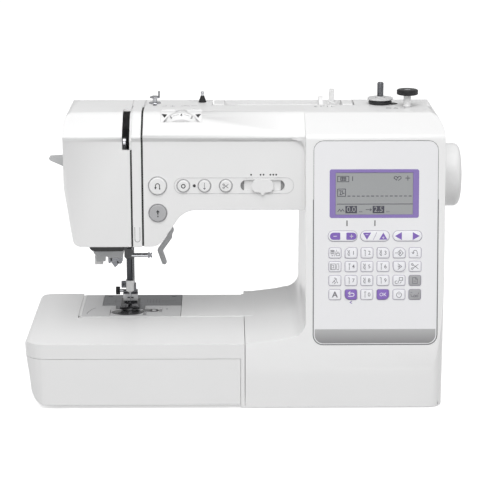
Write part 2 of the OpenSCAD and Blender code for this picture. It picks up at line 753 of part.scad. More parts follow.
// Cast frame: base, column plates, arm beam, head plate and the bosses that carry shafts and bars
module chassis() {
    color("silver") difference() {
        union() {
            block([-58, 6, 10], [166, 66, 16]);
            block([90, -52, 10], [166, 7, 16]);
            for (p = [[-50, 18], [12, 14], [150, -40], [150, 56], [20, 56]]) rod_z(foot_h + wall, 11, p[0], p[1], 9);
            block([128, 6, 15], [140, 66, 236]);
            block([60, 6, 15], [70, 66, 236]);
            block([-100, 10, 228], [140, 60, 236]);
            block([-78, 16, 180], [-70, 48, 229]);
            block([-135, 56, head_under_z + 0.6], [-96, 60, 236]);
            // lower and upper bosses of the bars
            block([-150, 2, head_under_z + 0.6], [-104, 60, head_under_z + 6]);
            block([-122, 26.5, 200], [-106, 57, 208]);
            block([-134, 15, 172], [-124, 57, 178]);
            // web and pin of the take-up lever
            block([-124, 4, 192], [-119, 57, 208]);
            rod_x(-120, -109, take_up_y, take_up_z, 6);
            // plate along the free arm, with its bearings
            block([-150, 66, 28], [66, 70, 56]);
            block([-54, 60, 15], [-46, 67, 30]);
            for (x = [-92, -8]) block([x, 20, 27], [x + 6, 67, 44]);
            for (x = [-140, -60, -20]) rod_y(69, free_arm_back - wall, x, 42, 8);
            // bearing under the hook
            block([-134, 5, free_arm_under + wall + 0.3], [-107, 24, 31.5]);
            block([-134, 5, free_arm_under + wall + 0.3], [-124, 67, 31.5]);
            for (x = feed_rod_x) rod_y(43, 67, x, feed_rod_z, 4);
            // carriers of the tension wheel, the winder and the presser lever
            block([wheel_x - 5, wheel_y + wheel_t/2 + 4, 229], [wheel_x + 5, 12, 250]);
            block([110, winder_y - 12, 235], [156, winder_y + 10, 249.8]);
            block([lever_x - 6, lever_y - 8, lever_z - 7], [lever_x + 6, lever_y - 3, lever_z + 7]);
            block([-100, 56, lever_z - 4], [lever_x, 59, lever_z + 4]);
            rod_y(lever_y - 5, lever_y + 5, lever_x, lever_z, 5);
        }
        rod_x(-90, 150, shaft_y, shaft_z, shaft_d + 2*run_gap);
        rod_x(-100, 150, shaft_y, lower_z, 8 + 2*run_gap);
        rod_z(head_under_z, 215, needle_x, shaft_y, bar_d + 2*run_gap);
        rod_z(head_under_z, 215, presser_x, presser_y, bar_d + 2*run_gap);
        rod_z(head_under_z, 182, threader_x, threader_y, 5 + 2*run_gap);
        block([knee_x - 3.1, guide_y - 2.1, head_under_z], [knee_x + 3.1, guide_y + 2.1, head_under_z + 10]);
        rod_z(20, 33, needle_x, hook_y, 6 + 2*run_gap);
        rod_y(-20, 14, wheel_x, top_z - 1 - tension_d/2, 4 + 2*run_gap);
    }
}

// Main shaft with its crank on the left and the two pulleys in the column
module main_shaft() {
    color("silver") {
        rod_x(crank_x + 2, column_right + 16, shaft_y, shaft_z, shaft_d);
        difference() {
            union() {
                rod_x(crank_x, crank_x + 8, shaft_y, shaft_z, 30);
                rod_x(crank_x, crank_x + 8, shaft_y, shaft_z - crank_r + 3, 18);
                rod_x(crank_x, crank_x + 8, shaft_y, shaft_z + 6, 26);
            }
            rod_x(crank_x - 1, crank_x + 4, shaft_y, shaft_z + 10, 6);
        }
        rod_x(rod_x1 + 1, crank_x + 1, shaft_y, shaft_z - crank_r, 6);
        rod_x(belt_x[0] - 1, belt_x[1] + 1, shaft_y, shaft_z, 2*big_pulley_r);
        rod_x(timing_x[0] - 1, timing_x[1] + 1, shaft_y, shaft_z, 2*timing_r);
    }
}

// Handwheel: a hollow cup with a domed cap, keyed on the main shaft
module handwheel() {
    wheel_r = wheel_d/2;
    x1 = column_right + wheel_w;
    color("white") translate([0, shaft_y, shaft_z]) rotate([90, 0, 90]) difference() {
        rotate_extrude() polygon(concat(
            [[shaft_d/2, column_right - 8], [11, column_right - 8], [11, column_right + 1.2]],
            [[wheel_r - 5, column_right + 1.2]],
            arc(wheel_r - 3, column_right + 4.2, 3, 270, 360, 4),
            arc(wheel_r - 6, x1 - 8, 6, 0, 70, 5),
            [[wheel_r - 9, x1 - 1.6], [8, x1], [0, x1], [0, column_right + 16.2], [shaft_d/2, column_right + 16.2]]));
        // ring-shaped hollow on the inner side
        translate([0, 0, column_right + 1]) difference() {
            cylinder(r = wheel_r - 4, h = 14);
            translate([0, 0, -1]) cylinder(r = 14, h = 16);
        }
    }
}

// Drive motor on its cradle
module motor() {
    color("gray") {
        difference() {
            rod_x(98, 150, motor_y, motor_z, 44);
            rod_x(97, 151, motor_y, motor_z, 6 + 2*run_gap);
        }
        block([102, motor_y - 16, 16], [146, motor_y + 16, motor_z - 20]);
    }
}

module motor_pulley() {
    color("black") {
        rod_x(80, 152, motor_y, motor_z, 6);
        rod_x(belt_x[0] - 1, belt_x[1] + 1, motor_y, motor_z, 2*small_pulley_r);
    }
}

// Belt around two pulleys; each point is [y, z, radius]
module belt(x, a, b) {
    gap = play;
    color("black") along_x(x[0], x[1]) difference() {
        hull() for (p = [a, b]) translate([p[0], p[1]]) circle(r = p[2] + gap + 1.6);
        hull() for (p = [a, b]) translate([p[0], p[1]]) circle(r = p[2] + gap);
    }
}
module belts() {
    belt(belt_x, [shaft_y, shaft_z, big_pulley_r], [motor_y, motor_z, small_pulley_r]);
    belt(timing_x, [shaft_y, shaft_z, timing_r], [shaft_y, lower_z, timing_r]);
}

module lower_shaft() {
    color("silver") {
        rod_x(needle_x - 5, 150, shaft_y, lower_z, 8);
        rod_x(timing_x[0] - 1, timing_x[1] + 1, shaft_y, lower_z, 2*timing_r);
        rod_x(needle_x - 5, needle_x + 5, shaft_y, lower_z, 2*gear_low_r);
    }
}

// Rotary hook: an open cup with its gear and upright shaft
module hook() {
    color("silver") {
        difference() {
            rod_z(43.5, 54, needle_x, hook_y, 2*hook_r);
            rod_z(45.2, 55, needle_x, hook_y, 2*hook_r - 2.8);
            // mouth behind the hook's point
            translate([needle_x, hook_y, 49]) rotate(120) cube([hook_r + 1, 6, 6]);
        }
        rod_z(free_arm_under + wall + 0.4, 44, needle_x, hook_y, 6);
        rod_z(32, 41, needle_x, hook_y, 2*gear_hook_r);
    }
}

module bobbin_case() {
    color("black") {
        difference() {
            rod_z(45.6, 55, needle_x, hook_y, 2*hook_r - 3.4);
            rod_z(47.1, 56, needle_x, hook_y, 2*hook_r - 5.8);
        }
        rod_z(46, 53, needle_x, hook_y, 5.6);
    }
}

// Bobbin with two flanges, wound with thread
module bobbin() {
    z0 = 47.4;
    color("gainsboro") difference() {
        union() {
            for (z = [z0, z0 + bobbin_h - 1]) rod_z(z, z + 1, needle_x, hook_y, bobbin_d);
            rod_z(z0, z0 + bobbin_h, needle_x, hook_y, 15);
        }
        rod_z(z0 - 1, z0 + bobbin_h + 1, needle_x, hook_y, 6);
    }
}

module feed_base() {
    color("silver") difference() {
        block([needle_x - 14, 47.6, 45.6], [needle_x + 14, 62.8, bed_z - 7.7]);
        for (x = feed_rod_x) rod_y(40, 70, x, feed_rod_z, 4 + 2*run_gap);
        rod_z(40, bed_z, needle_x, 54, 5 + 2*run_gap);
    }
}

// Feed dog: toothed rows on a forked plate, with the stem that lowers it
module feed_dog() {
    rows_y0 = row_y[0];
    color("silver") {
        difference() {
            block([row_x[0] - 2, rows_y0, bed_z - 5.7], [row_x[1] + 2, 58, bed_z - plate_t - 0.5]);
            block([needle_x - 4.4, 20, bed_z - 6], [needle_x + 4.4, 36, bed_z]);
        }
        for (x = row_x) feed_row(x - row_w/2, row_w, rows_y0, row_y[1]);
        feed_row(needle_x - 2, 4, 39, row_y[1]);
        rod_z(47, bed_z - 5, needle_x, 54, 5);
    }
}

// One row of saw teeth, pointing to the back
module feed_row(x, w, y0, y1) {
    n = floor((y1 - y0)/1.5);
    pitch = (y1 - y0)/n;
    along_x(x, x + w) polygon(concat([[y1, bed_z - 4], [y0, bed_z - 4]],
        [for (i = [0:n - 1]) each [[y0 + i*pitch, dog_top - 0.9], [y0 + (i + 0.9)*pitch, dog_top]]],
        [[y1, dog_top - 0.9]]));
}

module needle_bar() {
    color("silver") {
        rod_z(bar_foot, 226, needle_x, shaft_y, bar_d);
        // collar with the stud of the connecting rod
        difference() {
            block([needle_x - 5, shaft_y - 4.6, stud_z - 4], [needle_x + 5, shaft_y + 4.6, stud_z + 4]);
            rod_z(stud_z - 5, stud_z + 5, needle_x, shaft_y, bar_d - 0.2);
        }
        rod_x(needle_x + 4.5, rod_x1 - 0.2, shaft_y, stud_z, 5);
    }
}

module connecting_rod() {
    color("silver") difference() {
        along_x(rod_x0, rod_x1) {
            translate([shaft_y - 3, stud_z]) square([6, shaft_z - crank_r - stud_z]);
            translate([shaft_y, stud_z]) circle(d = 9.5);
            translate([shaft_y, shaft_z - crank_r]) circle(d = 11);
        }
        rod_x(rod_x0 - 1, rod_x1 + 1, shaft_y, stud_z, 5 + 2*run_gap);
        rod_x(rod_x0 - 1, rod_x1 + 1, shaft_y, shaft_z - crank_r, 6 + 2*run_gap);
    }
}

module needle_clamp() {
    color("white") difference() {
        union() {
            translate([needle_x, shaft_y, bar_foot - 7.5]) linear_extrude(10.5) polygon(rounded(7.8, 8.4, 2));
            rod_z(bar_foot - 9, bar_foot - 7.4, needle_x, shaft_y, 5);
        }
        rod_z(bar_foot, bar_foot + 4, needle_x, shaft_y, bar_d);
        rod_z(bar_foot - 10, bar_foot + 1, needle_x, shaft_y, 2);
        rod_x(needle_x - 6, needle_x, shaft_y, bar_foot - 1.5, 2.4);
    }
}

module clamp_screw() {
    color("silver") {
        rod_x(needle_x - 8.4, needle_x - 4, shaft_y, bar_foot - 1.5, 7);
        rod_x(needle_x - 4.4, needle_x - 1.2, shaft_y, bar_foot - 1.5, 2.3);
    }
}

module needle() {
    tip = bar_foot - needle_l;
    color("silver") {
        rod_z(tip + 21, bar_foot - 0.2, needle_x, shaft_y, 1.96);
        rod_z(tip + 2.5, tip + 21.1, needle_x, shaft_y, 0.9);
        translate([needle_x, shaft_y, tip]) cylinder(d1 = 0.1, d2 = 0.9, h = 2.6);
    }
}

// Take-up lever: an arm with a thread eye, on the pin in the head
module take_up_lever() {
    c = take_up_l*cos(take_up_a);
    s = take_up_l*sin(take_up_a);
    color("silver") difference() {
        union() {
            rod_x(-115.4, -110.6, take_up_y, take_up_z, 12);
            along_x(-114.2, -111.8) {
                hull() { translate([take_up_y, take_up_z]) circle(r = 4.5);
                    translate([take_up_y - c, take_up_z + s]) circle(r = 3); }
            }
        }
        rod_x(-117, -109, take_up_y, take_up_z, 6 + 2*run_gap);
        rod_x(-115, -111, take_up_y - c, take_up_z + s, 2.4);
    }
}

module presser_bar() {
    color("silver") rod_z(80, 226, presser_x, presser_y, bar_d);
}

// Lever that raises the foot, with its bent grip
module presser_lever() {
    path = [[lever_x, lever_z], [lever_x + 9, 134], [lever_x + 8, 127], [lever_x - 1.5, 113.5], [lever_x + 2.5, 101.5]];
    color("gray") difference() {
        along_y(lever_y - 2, lever_y + 2) {
            for (i = [0:3]) hull() for (p = [path[i], path[i + 1]]) translate(p) circle(d = i < 1 ? 7 : 5.2, $fn = 24);
            translate([lever_x, lever_z]) circle(d = 11);
        }
        rod_y(lever_y - 3, lever_y + 3, lever_x, lever_z, 5 + 2*run_gap);
    }
}

foot_z = dog_top + play;
foot_pin = [42, foot_z + 5.2];
module foot_holder() {
    color("silver") difference() {
        union() {
            block([presser_x - 4.4, presser_y - 4.6, foot_pin[1] + 5], [presser_x + 4.4, presser_y + 4.6, 84]);
            block([needle_x - 3.2, foot_pin[0] - 3.2, foot_pin[1] - 1.7], [needle_x + 3.2, foot_pin[0] + 3.2, foot_pin[1] + 5.5]);
            block([needle_x - 7, foot_pin[0] - 3, foot_pin[1] + 4], [needle_x + 7, foot_pin[0] + 4, foot_pin[1] + 8]);
            // bright front plate that hangs before the pin
            along_x(needle_x - 7.3, needle_x + 7.3) translate(foot_pin) polygon([[-5.2, -1.2], [-3.8, -1.2],
                [-3.8, 4.3], [-2.8, 4.9], [-2.8, 6.9], [-4, 6.9], [-5.2, 5.7]]);
        }
        block([needle_x - 3, foot_pin[0] - 6, foot_pin[1] + 1.1], [needle_x + 3, foot_pin[0] - 3.5, foot_pin[1] + 2.7]);
        rod_z(80, 91, presser_x, presser_y, bar_d);
        rod_x(-130, -100, foot_pin[0], foot_pin[1], 2.5 + 2*run_gap);
        rod_x(presser_x - 12, presser_x, presser_y, 77, 3);
    }
}

module foot_screw() {
    color("black") {
        rod_x(presser_x - 15.6, presser_x - 11.6, presser_y, 77, 8);
        rod_x(presser_x - 12, presser_x - 1, presser_y, 77, 2.9);
    }
}

module presser_foot() {
    color([0.25, 0.25, 0.27]) difference() {
        union() {
            along_x(needle_x - 9.2, needle_x + 9.2) polygon([[50, foot_z + 1.6], [41.5, foot_z], [22, foot_z],
                [14, foot_z + 2.6], [13, foot_z + 4], [15, foot_z + 4.4], [25, foot_z + 2.2], [50, foot_z + 2.8]]);
            for (s = [-1, 1]) block([needle_x + s*5 - 1.2, foot_pin[0] - 3, foot_z + 2],
                [needle_x + s*5 + 1.2, foot_pin[0] + 3, foot_pin[1] + 2.4]);
        }
        block([needle_x - 3.8, shaft_y - 1.6, foot_z - 1], [needle_x + 3.8, shaft_y + 1.8, foot_z + 4]);
        block([needle_x - 1.6, 10, foot_z - 1], [needle_x + 1.6, shaft_y, foot_z + 5]);
    }
    color("silver") rod_x(needle_x - 6.2, needle_x + 6.2, foot_pin[0], foot_pin[1], 2.5);
}

// Needle threader on its own bar, in front of the needle bar on the left
module needle_threader() {
    color("gray") {
        rod_z(118, 196, threader_x, threader_y, 5);
        block([-148, threader_y - 6, 119], [-121.6, threader_y + 6, 130]);
        block([-145.6, threader_y - 4, 115], [-136.2, threader_y + 4, 120]);
        block([-133.6, threader_y - 1.5, 109.6], [-121.8, threader_y + 1.5, 120]);
    }
}

// Finger lever of the threader, on the left end of the head
module threader_lever() {
    color("gray") {
        along_y(-4, 4) polygon([[head_left - 0.8, threader_z + 4.3], [head_left - 16, threader_z + 3.4],
            [head_left - 17, threader_z + 2], [head_left - 16, threader_z], [head_left - 3.5, threader_z - 5.6],
            [head_left - 0.8, threader_z - 4.4]]);
        block([head_left - 1, -3 + play, threader_z - 3], [head_left + 9, 3 - play, threader_z + 3]);
        block([head_left + 8, -8, threader_z - 6], [head_left + 11, 8, threader_z + 6]);
    }
}

module buttonhole_lever() {
    color("gainsboro") {
        block([knee_x - 3, guide_y - 2, 112], [knee_x + 3, guide_y + 2, 184]);
        block([knee_x - 4, guide_y - 5, 108], [knee_x + 4, guide_y + 2, 116]);
    }
}

module tension_wheel() {
    color("white") {
        translate([wheel_x, wheel_y, top_z - 1 - tension_d/2]) rotate([90, 0, 0]) rotate_extrude()
            polygon([[0, -wheel_t/2], [tension_d/2, -wheel_t/2], [tension_d/2, wheel_t/2 - 5],
                [tension_d/2 - 5, wheel_t/2], [0, wheel_t/2]]);
        rod_y(wheel_y + wheel_t/2 - 1, wheel_y + wheel_t/2 + 12, wheel_x, top_z - 1 - tension_d/2, 4);
    }
}

// ---- Bobbin winder ----
module winder_carriage() {
    color("gray") difference() {
        block([winder_x - 10, winder_y - 7, 250], [winder_x + 10, winder_y + 7, 261]);
        rod_z(249, 262, winder_x, winder_y, winder_d + 2*run_gap);
    }
}
module winder_spindle() {
    color("dimgray") rod_z(250.2, winder_top, winder_x, winder_y, winder_d);
    color("gainsboro") rod_z(top_z + 4.3, top_z + 5.8, winder_x, winder_y, 24.4);
}
module winder_stopper() {
    color("white") {
        rod_z(top_z - 9.5, top_z + 11.2, stopper_x, stopper_y, 4);
        rod_z(top_z + 0.1, top_z + 11.2, stopper_x, stopper_y, 7);
    }
    color("black") rod_z(top_z + 11, top_z + 16, stopper_x, stopper_y, 20);
}

// ---- Spool pin ----
module spool_pin() {
    color("white") {
        rod_x(-8, 78, spool_y, spool_z, spool_pin_d);
        difference() {
            rod_y(spool_y - 4.7, spool_y + 4.7, 81.5, spool_z, 9);
            block([60, spool_y - 20, spool_z - 20], [76.5, spool_y + 20, spool_z + 20]);
        }
        rod_y(spool_y - 7.8, spool_y + 7.8, 81.5, spool_z, pin_d);
        // finger tab
        block([79, spool_y - 3, spool_z], [84, spool_y + 3, top_z + 11.5]);
    }
}
module spool_cap() {
    color("white") difference() {
        rod_x(69, 73, spool_y, spool_z, 22);
        rod_x(68, 74, spool_y, spool_z, spool_pin_d + 2*run_gap);
    }
}

// Small fixed thread guides: on the channel, on the top and under the head
module thread_guides() {
    color("silver") {
        rod_z(top_z - 5, top_z + 8, -87, 17, 4);
        rod_z(top_z - 5, top_z - 4, -87, 17, 12);
        rod_z(top_z + 0.6, top_z + 2, -87, 17, 12);
        rod_z(top_z + 6, top_z + 8, -87, 17, 10);
        rod_z(top_z + 7, top_z + 12.3, -83, 17, 1.6);
    }
    color("black") {
        translate([-42, 29, top_z]) cylinder(d1 = 7.4, d2 = 3.4, h = 6);
        rod_z(top_z + 5, top_z + 10, -42, 29, 3.4);
        block([-151, 2, 127.4], [-118, 12.5, head_under_z + 0.6]);
        block([-120.6, 14, 117], [-118.4, 25, head_under_z + 0.6]);
        block([-120.6, 14, 116.8], [-111.6, 18, 127.5]);
        block([-95.4, 14.6, 117.2], [-91.4, 17.4, 123.2]);
    }
    color("silver") rod_x(-112, -95, 16, 120.2, 2.6);
}

// ---- Right side of the base ----
module sockets() {
    color("dimgray") difference() {
        union() {
            block([column_right - 8, 22 + play, 18 + play], [column_right, 62 - play, 34 - play]);
            block([column_right - 8, 26 + play, 40 + play], [column_right, 46 - play, 54 - play]);
            block([column_right - 8, 23, 33], [column_right - 5, 45, 41]);
        }
        block([column_right - 6, 25, 21], [column_right + 1, 37, 31]);
        rod_x(column_right - 6, column_right + 1, 44, 26, 7);
        rod_x(column_right - 6, column_right + 1, 54, 26, 5.4);
        block([column_right - 9, 28.4, 42.4], [column_right + 1, 43.6, 51.6]);
        rod_z(41, 53, column_right - 3, 36, 2 + 2*run_gap);
    }
    color("gray") for (y = [28, 34]) rod_x(column_right - 6.2, column_right - 1, y, 26, 1.6);
}
module power_switch() {
    color("black") {
        block([column_right - 4, 29, 42.9], [column_right + 1.2, 43, 51.1]);
        rod_z(41.4, 52.6, column_right - 3, 36, 2);
    }
}

front_cover();
rear_cover();
face_cover();
thread_strip();
bed_cover();
base_pan();
rubber_feet();
extension_table();
accessory_lid();
carry_handle();
panel_frame();
display();
keypad();
rocker_minus_plus();
rocker_down_up();
rocker_left_right();
start_stop_button();
reverse_button();
reinforce_button();
needle_button();
cutter_button();
speed_slider();
chassis();
main_shaft();
handwheel();
motor();
motor_pulley();
belts();
lower_shaft();
hook();
bobbin_case();
bobbin();
feed_base();
feed_dog();
needle_plate();
plate_cover();
bobbin_cover();
needle_bar();
needle_clamp();
clamp_screw();
needle();
connecting_rod();
take_up_lever();
presser_bar();
presser_lever();
foot_holder();
foot_screw();
presser_foot();
needle_threader();
threader_lever();
buttonhole_lever();
tension_wheel();
winder_carriage();
winder_spindle();
winder_stopper();
spool_pin();
spool_cap();
thread_guides();
power_switch();
sockets();
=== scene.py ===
# A domestic computerised sewing machine with its extension table fitted.
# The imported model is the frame; every section below dresses one piece or one group of like pieces.

import math

import bmesh
import bpy
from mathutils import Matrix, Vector


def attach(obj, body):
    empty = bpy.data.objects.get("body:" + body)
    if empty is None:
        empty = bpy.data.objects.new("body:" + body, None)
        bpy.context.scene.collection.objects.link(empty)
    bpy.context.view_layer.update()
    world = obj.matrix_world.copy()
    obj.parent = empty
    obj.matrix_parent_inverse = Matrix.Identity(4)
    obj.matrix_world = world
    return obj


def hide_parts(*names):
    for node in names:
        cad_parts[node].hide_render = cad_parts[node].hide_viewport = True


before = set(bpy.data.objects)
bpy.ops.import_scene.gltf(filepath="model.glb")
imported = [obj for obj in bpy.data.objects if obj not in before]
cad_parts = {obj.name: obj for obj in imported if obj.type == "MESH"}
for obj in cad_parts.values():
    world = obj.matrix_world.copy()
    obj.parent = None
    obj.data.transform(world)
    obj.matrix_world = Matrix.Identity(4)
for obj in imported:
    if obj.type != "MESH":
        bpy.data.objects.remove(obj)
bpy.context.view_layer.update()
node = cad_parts


# ---- Studio ----
# A pale floor under plain soft light: one broad lamp high in front, a weaker one on the right,
# one above, and an even sky. The camera is a long lens that looks slightly down on the machine.

def new_material(name):
    """A node material with one Principled shader on its output."""
    made = bpy.data.materials.new(name)
    made.use_nodes = True
    return made, made.node_tree, made.node_tree.nodes["Principled BSDF"]


def new_piece(name, points, faces):
    """A new piece in the scene, made of these points and faces."""
    mesh = bpy.data.meshes.new(name)
    mesh.from_pydata(points, [], faces)
    made = bpy.data.objects.new(name, mesh)
    scene.collection.objects.link(made)
    return made


scene = bpy.context.scene
scene.view_settings.view_transform = "Standard"

floor = new_piece("studio_floor", [(-8, -8, 0), (8, -8, 0), (8, 8, 0), (-8, 8, 0)], [(0, 1, 2, 3)])
floor_paint, tree, shader = new_material("floor_paint")
bright = tree.nodes.new("ShaderNodeBsdfPrincipled")
for paint, grey in ((shader, 0.45), (bright, 1)):
    paint.inputs["Base Color"].default_value = (grey, grey, grey, 1)
    paint.inputs["Roughness"].default_value = 0.9
    paint.inputs["Specular IOR Level"].default_value = 0.0
bright.inputs["Emission Color"].default_value = (1, 1, 1, 1)
bright.inputs["Emission Strength"].default_value = 0.55
rays = tree.nodes.new("ShaderNodeLightPath")
seen = rays.outputs["Is Camera Ray"]
for kind in ("Is Glossy Ray", "Is Transmission Ray"):
    either = tree.nodes.new("ShaderNodeMath")
    either.operation = "MAXIMUM"
    tree.links.new(seen, either.inputs[0])
    tree.links.new(rays.outputs[kind], either.inputs[1])
    seen = either.outputs[0]
blend = tree.nodes.new("ShaderNodeMixShader")
tree.links.new(seen, blend.inputs[0])
tree.links.new(shader.outputs[0], blend.inputs[1])
tree.links.new(bright.outputs[0], blend.inputs[2])
tree.links.new(blend.outputs[0], tree.nodes["Material Output"].inputs["Surface"])
floor.data.materials.append(floor_paint)

sky_light = 0.46
sky_seen = 1.1
sky = bpy.data.worlds.new("sky")
sky.use_nodes = True
tree = sky.node_tree
tree.nodes["Background"].inputs["Color"].default_value = (1, 1, 1, 1)
rays = tree.nodes.new("ShaderNodeLightPath")
strength = tree.nodes.new("ShaderNodeMath")
strength.operation = "MULTIPLY_ADD"
strength.inputs[1].default_value = sky_seen - sky_light
strength.inputs[2].default_value = sky_light
tree.links.new(rays.outputs["Is Camera Ray"], strength.inputs[0])
tree.links.new(strength.outputs[0], tree.nodes["Background"].inputs["Strength"])
scene.world = sky


def lamp(name, place, aim, size, power):
    """A square soft lamp at place that faces aim."""
    data = bpy.data.lights.new(name, "AREA")
    data.size = size
    data.energy = power
    made = bpy.data.objects.new(name, data)
    made.location = place
    made.rotation_euler = (Vector(aim) - Vector(place)).to_track_quat("-Z", "Y").to_euler()
    scene.collection.objects.link(made)


lamp("key_lamp", (-0.3, -1.7, 2.0), (0, 0, 0.12), 1.6, 33)
lamp("fill_lamp", (1.8, -1.6, 1.3), (0, 0, 0.12), 1.4, 5)
lamp("top_lamp", (0.1, -0.6, 2.4), (0, 0, 0.1), 1.4, 10)

lens = bpy.data.cameras.new("lens")
lens.lens = 129.15
lens.sensor_width = 36
lens.clip_start = 0.1
lens.clip_end = 40
camera = bpy.data.objects.new("camera", lens)
camera.location = (-0.0205, -1.64, 0.5545)
camera.rotation_euler = (math.radians(90 - 14.41), 0, math.radians(-0.69))
scene.collection.objects.link(camera)
scene.camera = camera


# ---- Body shells ----
# Three glossy white ABS mouldings, 2.5 mm thick, screwed together from behind: the front cover,
# the rear cover and the face cover at the left. Their outer edges are rounded in the mould.

MM = 0.001


def arc(cx, cy, radius, start, stop, steps=10):
    """Points along a round corner, angles in degrees."""
    turns = [math.radians(start + (stop - start) * i / steps) for i in range(steps + 1)]
    return [(cx + radius * math.cos(a), cy + radius * math.sin(a)) for a in turns]


def anticlockwise(outline):
    """The same outline with its corners in anticlockwise order."""
    area = sum(outline[i - 1][0] * outline[i][1] - outline[i][0] * outline[i - 1][1]
               for i in range(len(outline)))
    return outline[::-1] if area < 0 else outline


def wall(low, high, count):
    """The four-sided faces between two rings of points, which start at low and at high."""
    return [[low + i, low + (i + 1) % count, high + (i + 1) % count, high + i] for i in range(count)]


def prism(name, outline, axis, low, high):
    """A closed outline in millimetres run along x, y or z from low to high."""
    count = len(outline)
    place = {
        "x": lambda u, v, w: (w, u, v),
        "y": lambda u, v, w: (u, w, v),
        "z": lambda u, v, w: (u, v, w),
    }[axis]
    points = [Vector(place(u, v, w)) * MM for w in (low, high) for u, v in anticlockwise(outline)]
    faces = [list(range(count))[::-1], list(range(count, 2 * count))] + wall(0, count, count)
    made = new_piece(name, points, faces)
    if axis == "y":
        made.data.flip_normals()
    return made


def carve(piece, tool, how="DIFFERENCE", keep_tool=False):
    """Cuts the piece with another solid, or joins them, or keeps what they share."""
    step = piece.modifiers.new("carve", "BOOLEAN")
    step.operation = how
    step.solver = "EXACT"
    step.object = tool
    depsgraph = bpy.context.evaluated_depsgraph_get()
    mesh = bpy.data.meshes.new_from_object(piece.evaluated_get(depsgraph))
    piece.modifiers.clear()
    piece.data = mesh
    if not keep_tool:
        bpy.data.objects.remove(tool)


def soften_edges(piece, radius, wanted):
    """Rounds the outward edges whose middle wanted(middle) accepts."""
    work = bmesh.new()
    work.from_mesh(piece.data)
    bmesh.ops.remove_doubles(work, verts=work.verts, dist=0.00002)
    bmesh.ops.dissolve_limit(work, angle_limit=math.radians(0.5), verts=work.verts, edges=work.edges)
    work.normal_update()
    chosen = []
    for edge in work.edges:
        if len(edge.link_faces) == 2 and edge.calc_face_angle_signed() >= math.radians(30):
            if wanted((edge.verts[0].co + edge.verts[1].co) / 2 / MM):
                chosen.append(edge)
    bmesh.ops.bevel(work, geom=chosen, offset=radius * MM, segments=5, profile=0.5, affect="EDGES",
                    clamp_overlap=True, miter_outer="ARC")
    work.to_mesh(piece.data)
    work.free()


skin = 0.2
top_z = 268 - skin
crease_z = 246
arm_solid = prism(
    "arm_solid",
    arc(-160, 258, 10 - skin, 90, 180)
    + [(-170 + skin, 201)]
    + arc(-155, 152, 8 - skin, 190, 270)
    + arc(-90, 158, 14 - skin, 270, 320)
    + arc(-47, 157, 22 + skin, 140, 90)
    + [(165, 179 + skin), (165, top_z)],
    "y", -60, 90)
# The arm lies a hair inside the column, so that their tops do not share a face.
arm_skin = skin + 0.02
arm_side = prism(
    "arm_side",
    [(-46 + skin, 124), (-46 + skin, crease_z - 2)]
    + arc(-44.5, crease_z + 1.5, 4 - arm_skin, 180, 137, 5)
    + arc(-20, 256, 12 - arm_skin, 137, 90, 8)
    + [(40, 268 - arm_skin)]
    + arc(60, 238, 27 - arm_skin, 70, 0, 12)
    + [(87 - arm_skin, 124)],
    "x", -171, 62)
carve(arm_solid, arm_side, "INTERSECT")
soften_edges(arm_solid, 4, lambda middle: middle.z < 243 or middle.x < -150 or middle.z > 250)
arm_corner = prism("arm_corner", [(62, 247), (41, 247)] + arc(41, 235, 11 + skin, 90, 0) + [(62, 235)],
                   "y", -48.5 + skin, -40)
carve(arm_solid, arm_corner, "UNION")

column_solid = prism(
    "column_solid",
    [(-2.6 + skin, 1.5), (-2.6 + skin, 63 - skin), (6, 63 - skin), (30, 66 - skin)]
    + arc(39, 82, 14 + skin, 270, 360)
    + [(53 + skin, top_z)]
    + arc(167, 254, 14 - skin, 90, 0)
    + [(181 - skin, 1.5)],
    "y", -91, 91)
panel_lean = 8.06
lean = math.radians(panel_lean)
bend_z = 63 - 3.8 / math.tan(lean) - 60 * math.tan(lean / 2)
crease_y = -86.2 + (crease_z + 1 - 63) * math.tan(lean)
column_side = prism(
    "column_side",
    [(-90 + skin, 1.5)]
    + arc(-30, bend_z, 60 - skin, 180, 180 - panel_lean, 4)
    + arc(crease_y + 7 * math.cos(lean), crease_z + 1, 7 - skin, 180 - panel_lean, 116, 6)
    + arc(-24, 256, 12 - skin, 116, 90, 8)
    + [(40, top_z)]
    + arc(60, 238, 27 - skin, 70, 15, 10)
    + [(90 - skin, 93), (90 - skin, 1.5)],
    "x", -4, 182)
carve(column_solid, column_side, "INTERSECT")
column_plan = prism(
    "column_plan",
    [(-2.6 + skin, 90 - skin), (-2.6 + skin, -90 + skin)]
    + arc(167, -76, 14 - skin, 270, 360)
    + arc(167, 76, 14 - skin, 0, 90),
    "z", 1, 269)
carve(column_solid, column_plan, "INTERSECT")
soften_edges(column_solid, 3.5, lambda middle: middle.z >= 2 and middle.x >= 0)
carve(arm_solid, column_solid, "UNION")


def noise(tree, scale, detail=2.0, place=None):
    """The value of a fine random pattern, at place or else over the piece's own box."""
    made = tree.nodes.new("ShaderNodeTexNoise")
    made.inputs["Scale"].default_value = scale
    made.inputs["Detail"].default_value = detail
    if place is not None:
        tree.links.new(place, made.inputs["Vector"])
    return made.outputs["Fac"]


def tint(tree, value, socket, low, high, ends=(0.0, 1.0)):
    """Colours a socket from low to high as the value goes from one end to the other."""
    made = tree.nodes.new("ShaderNodeValToRGB")
    for element, colour, end in zip(made.color_ramp.elements, (low, high), ends):
        element.position = end
        element.color = colour
    tree.links.new(value, made.inputs["Fac"])
    tree.links.new(made.outputs["Color"], socket)


def vary(tree, value, socket, low, high, ends=(0.0, 1.0)):
    """Moves a socket from low to high as the value goes from one end to the other."""
    made = tree.nodes.new("ShaderNodeMapRange")
    for limit, amount in zip(("From Min", "From Max", "To Min", "To Max"), (*ends, low, high)):
        made.inputs[limit].default_value = amount
    tree.links.new(value, made.inputs["Value"])
    tree.links.new(made.outputs["Result"], socket)


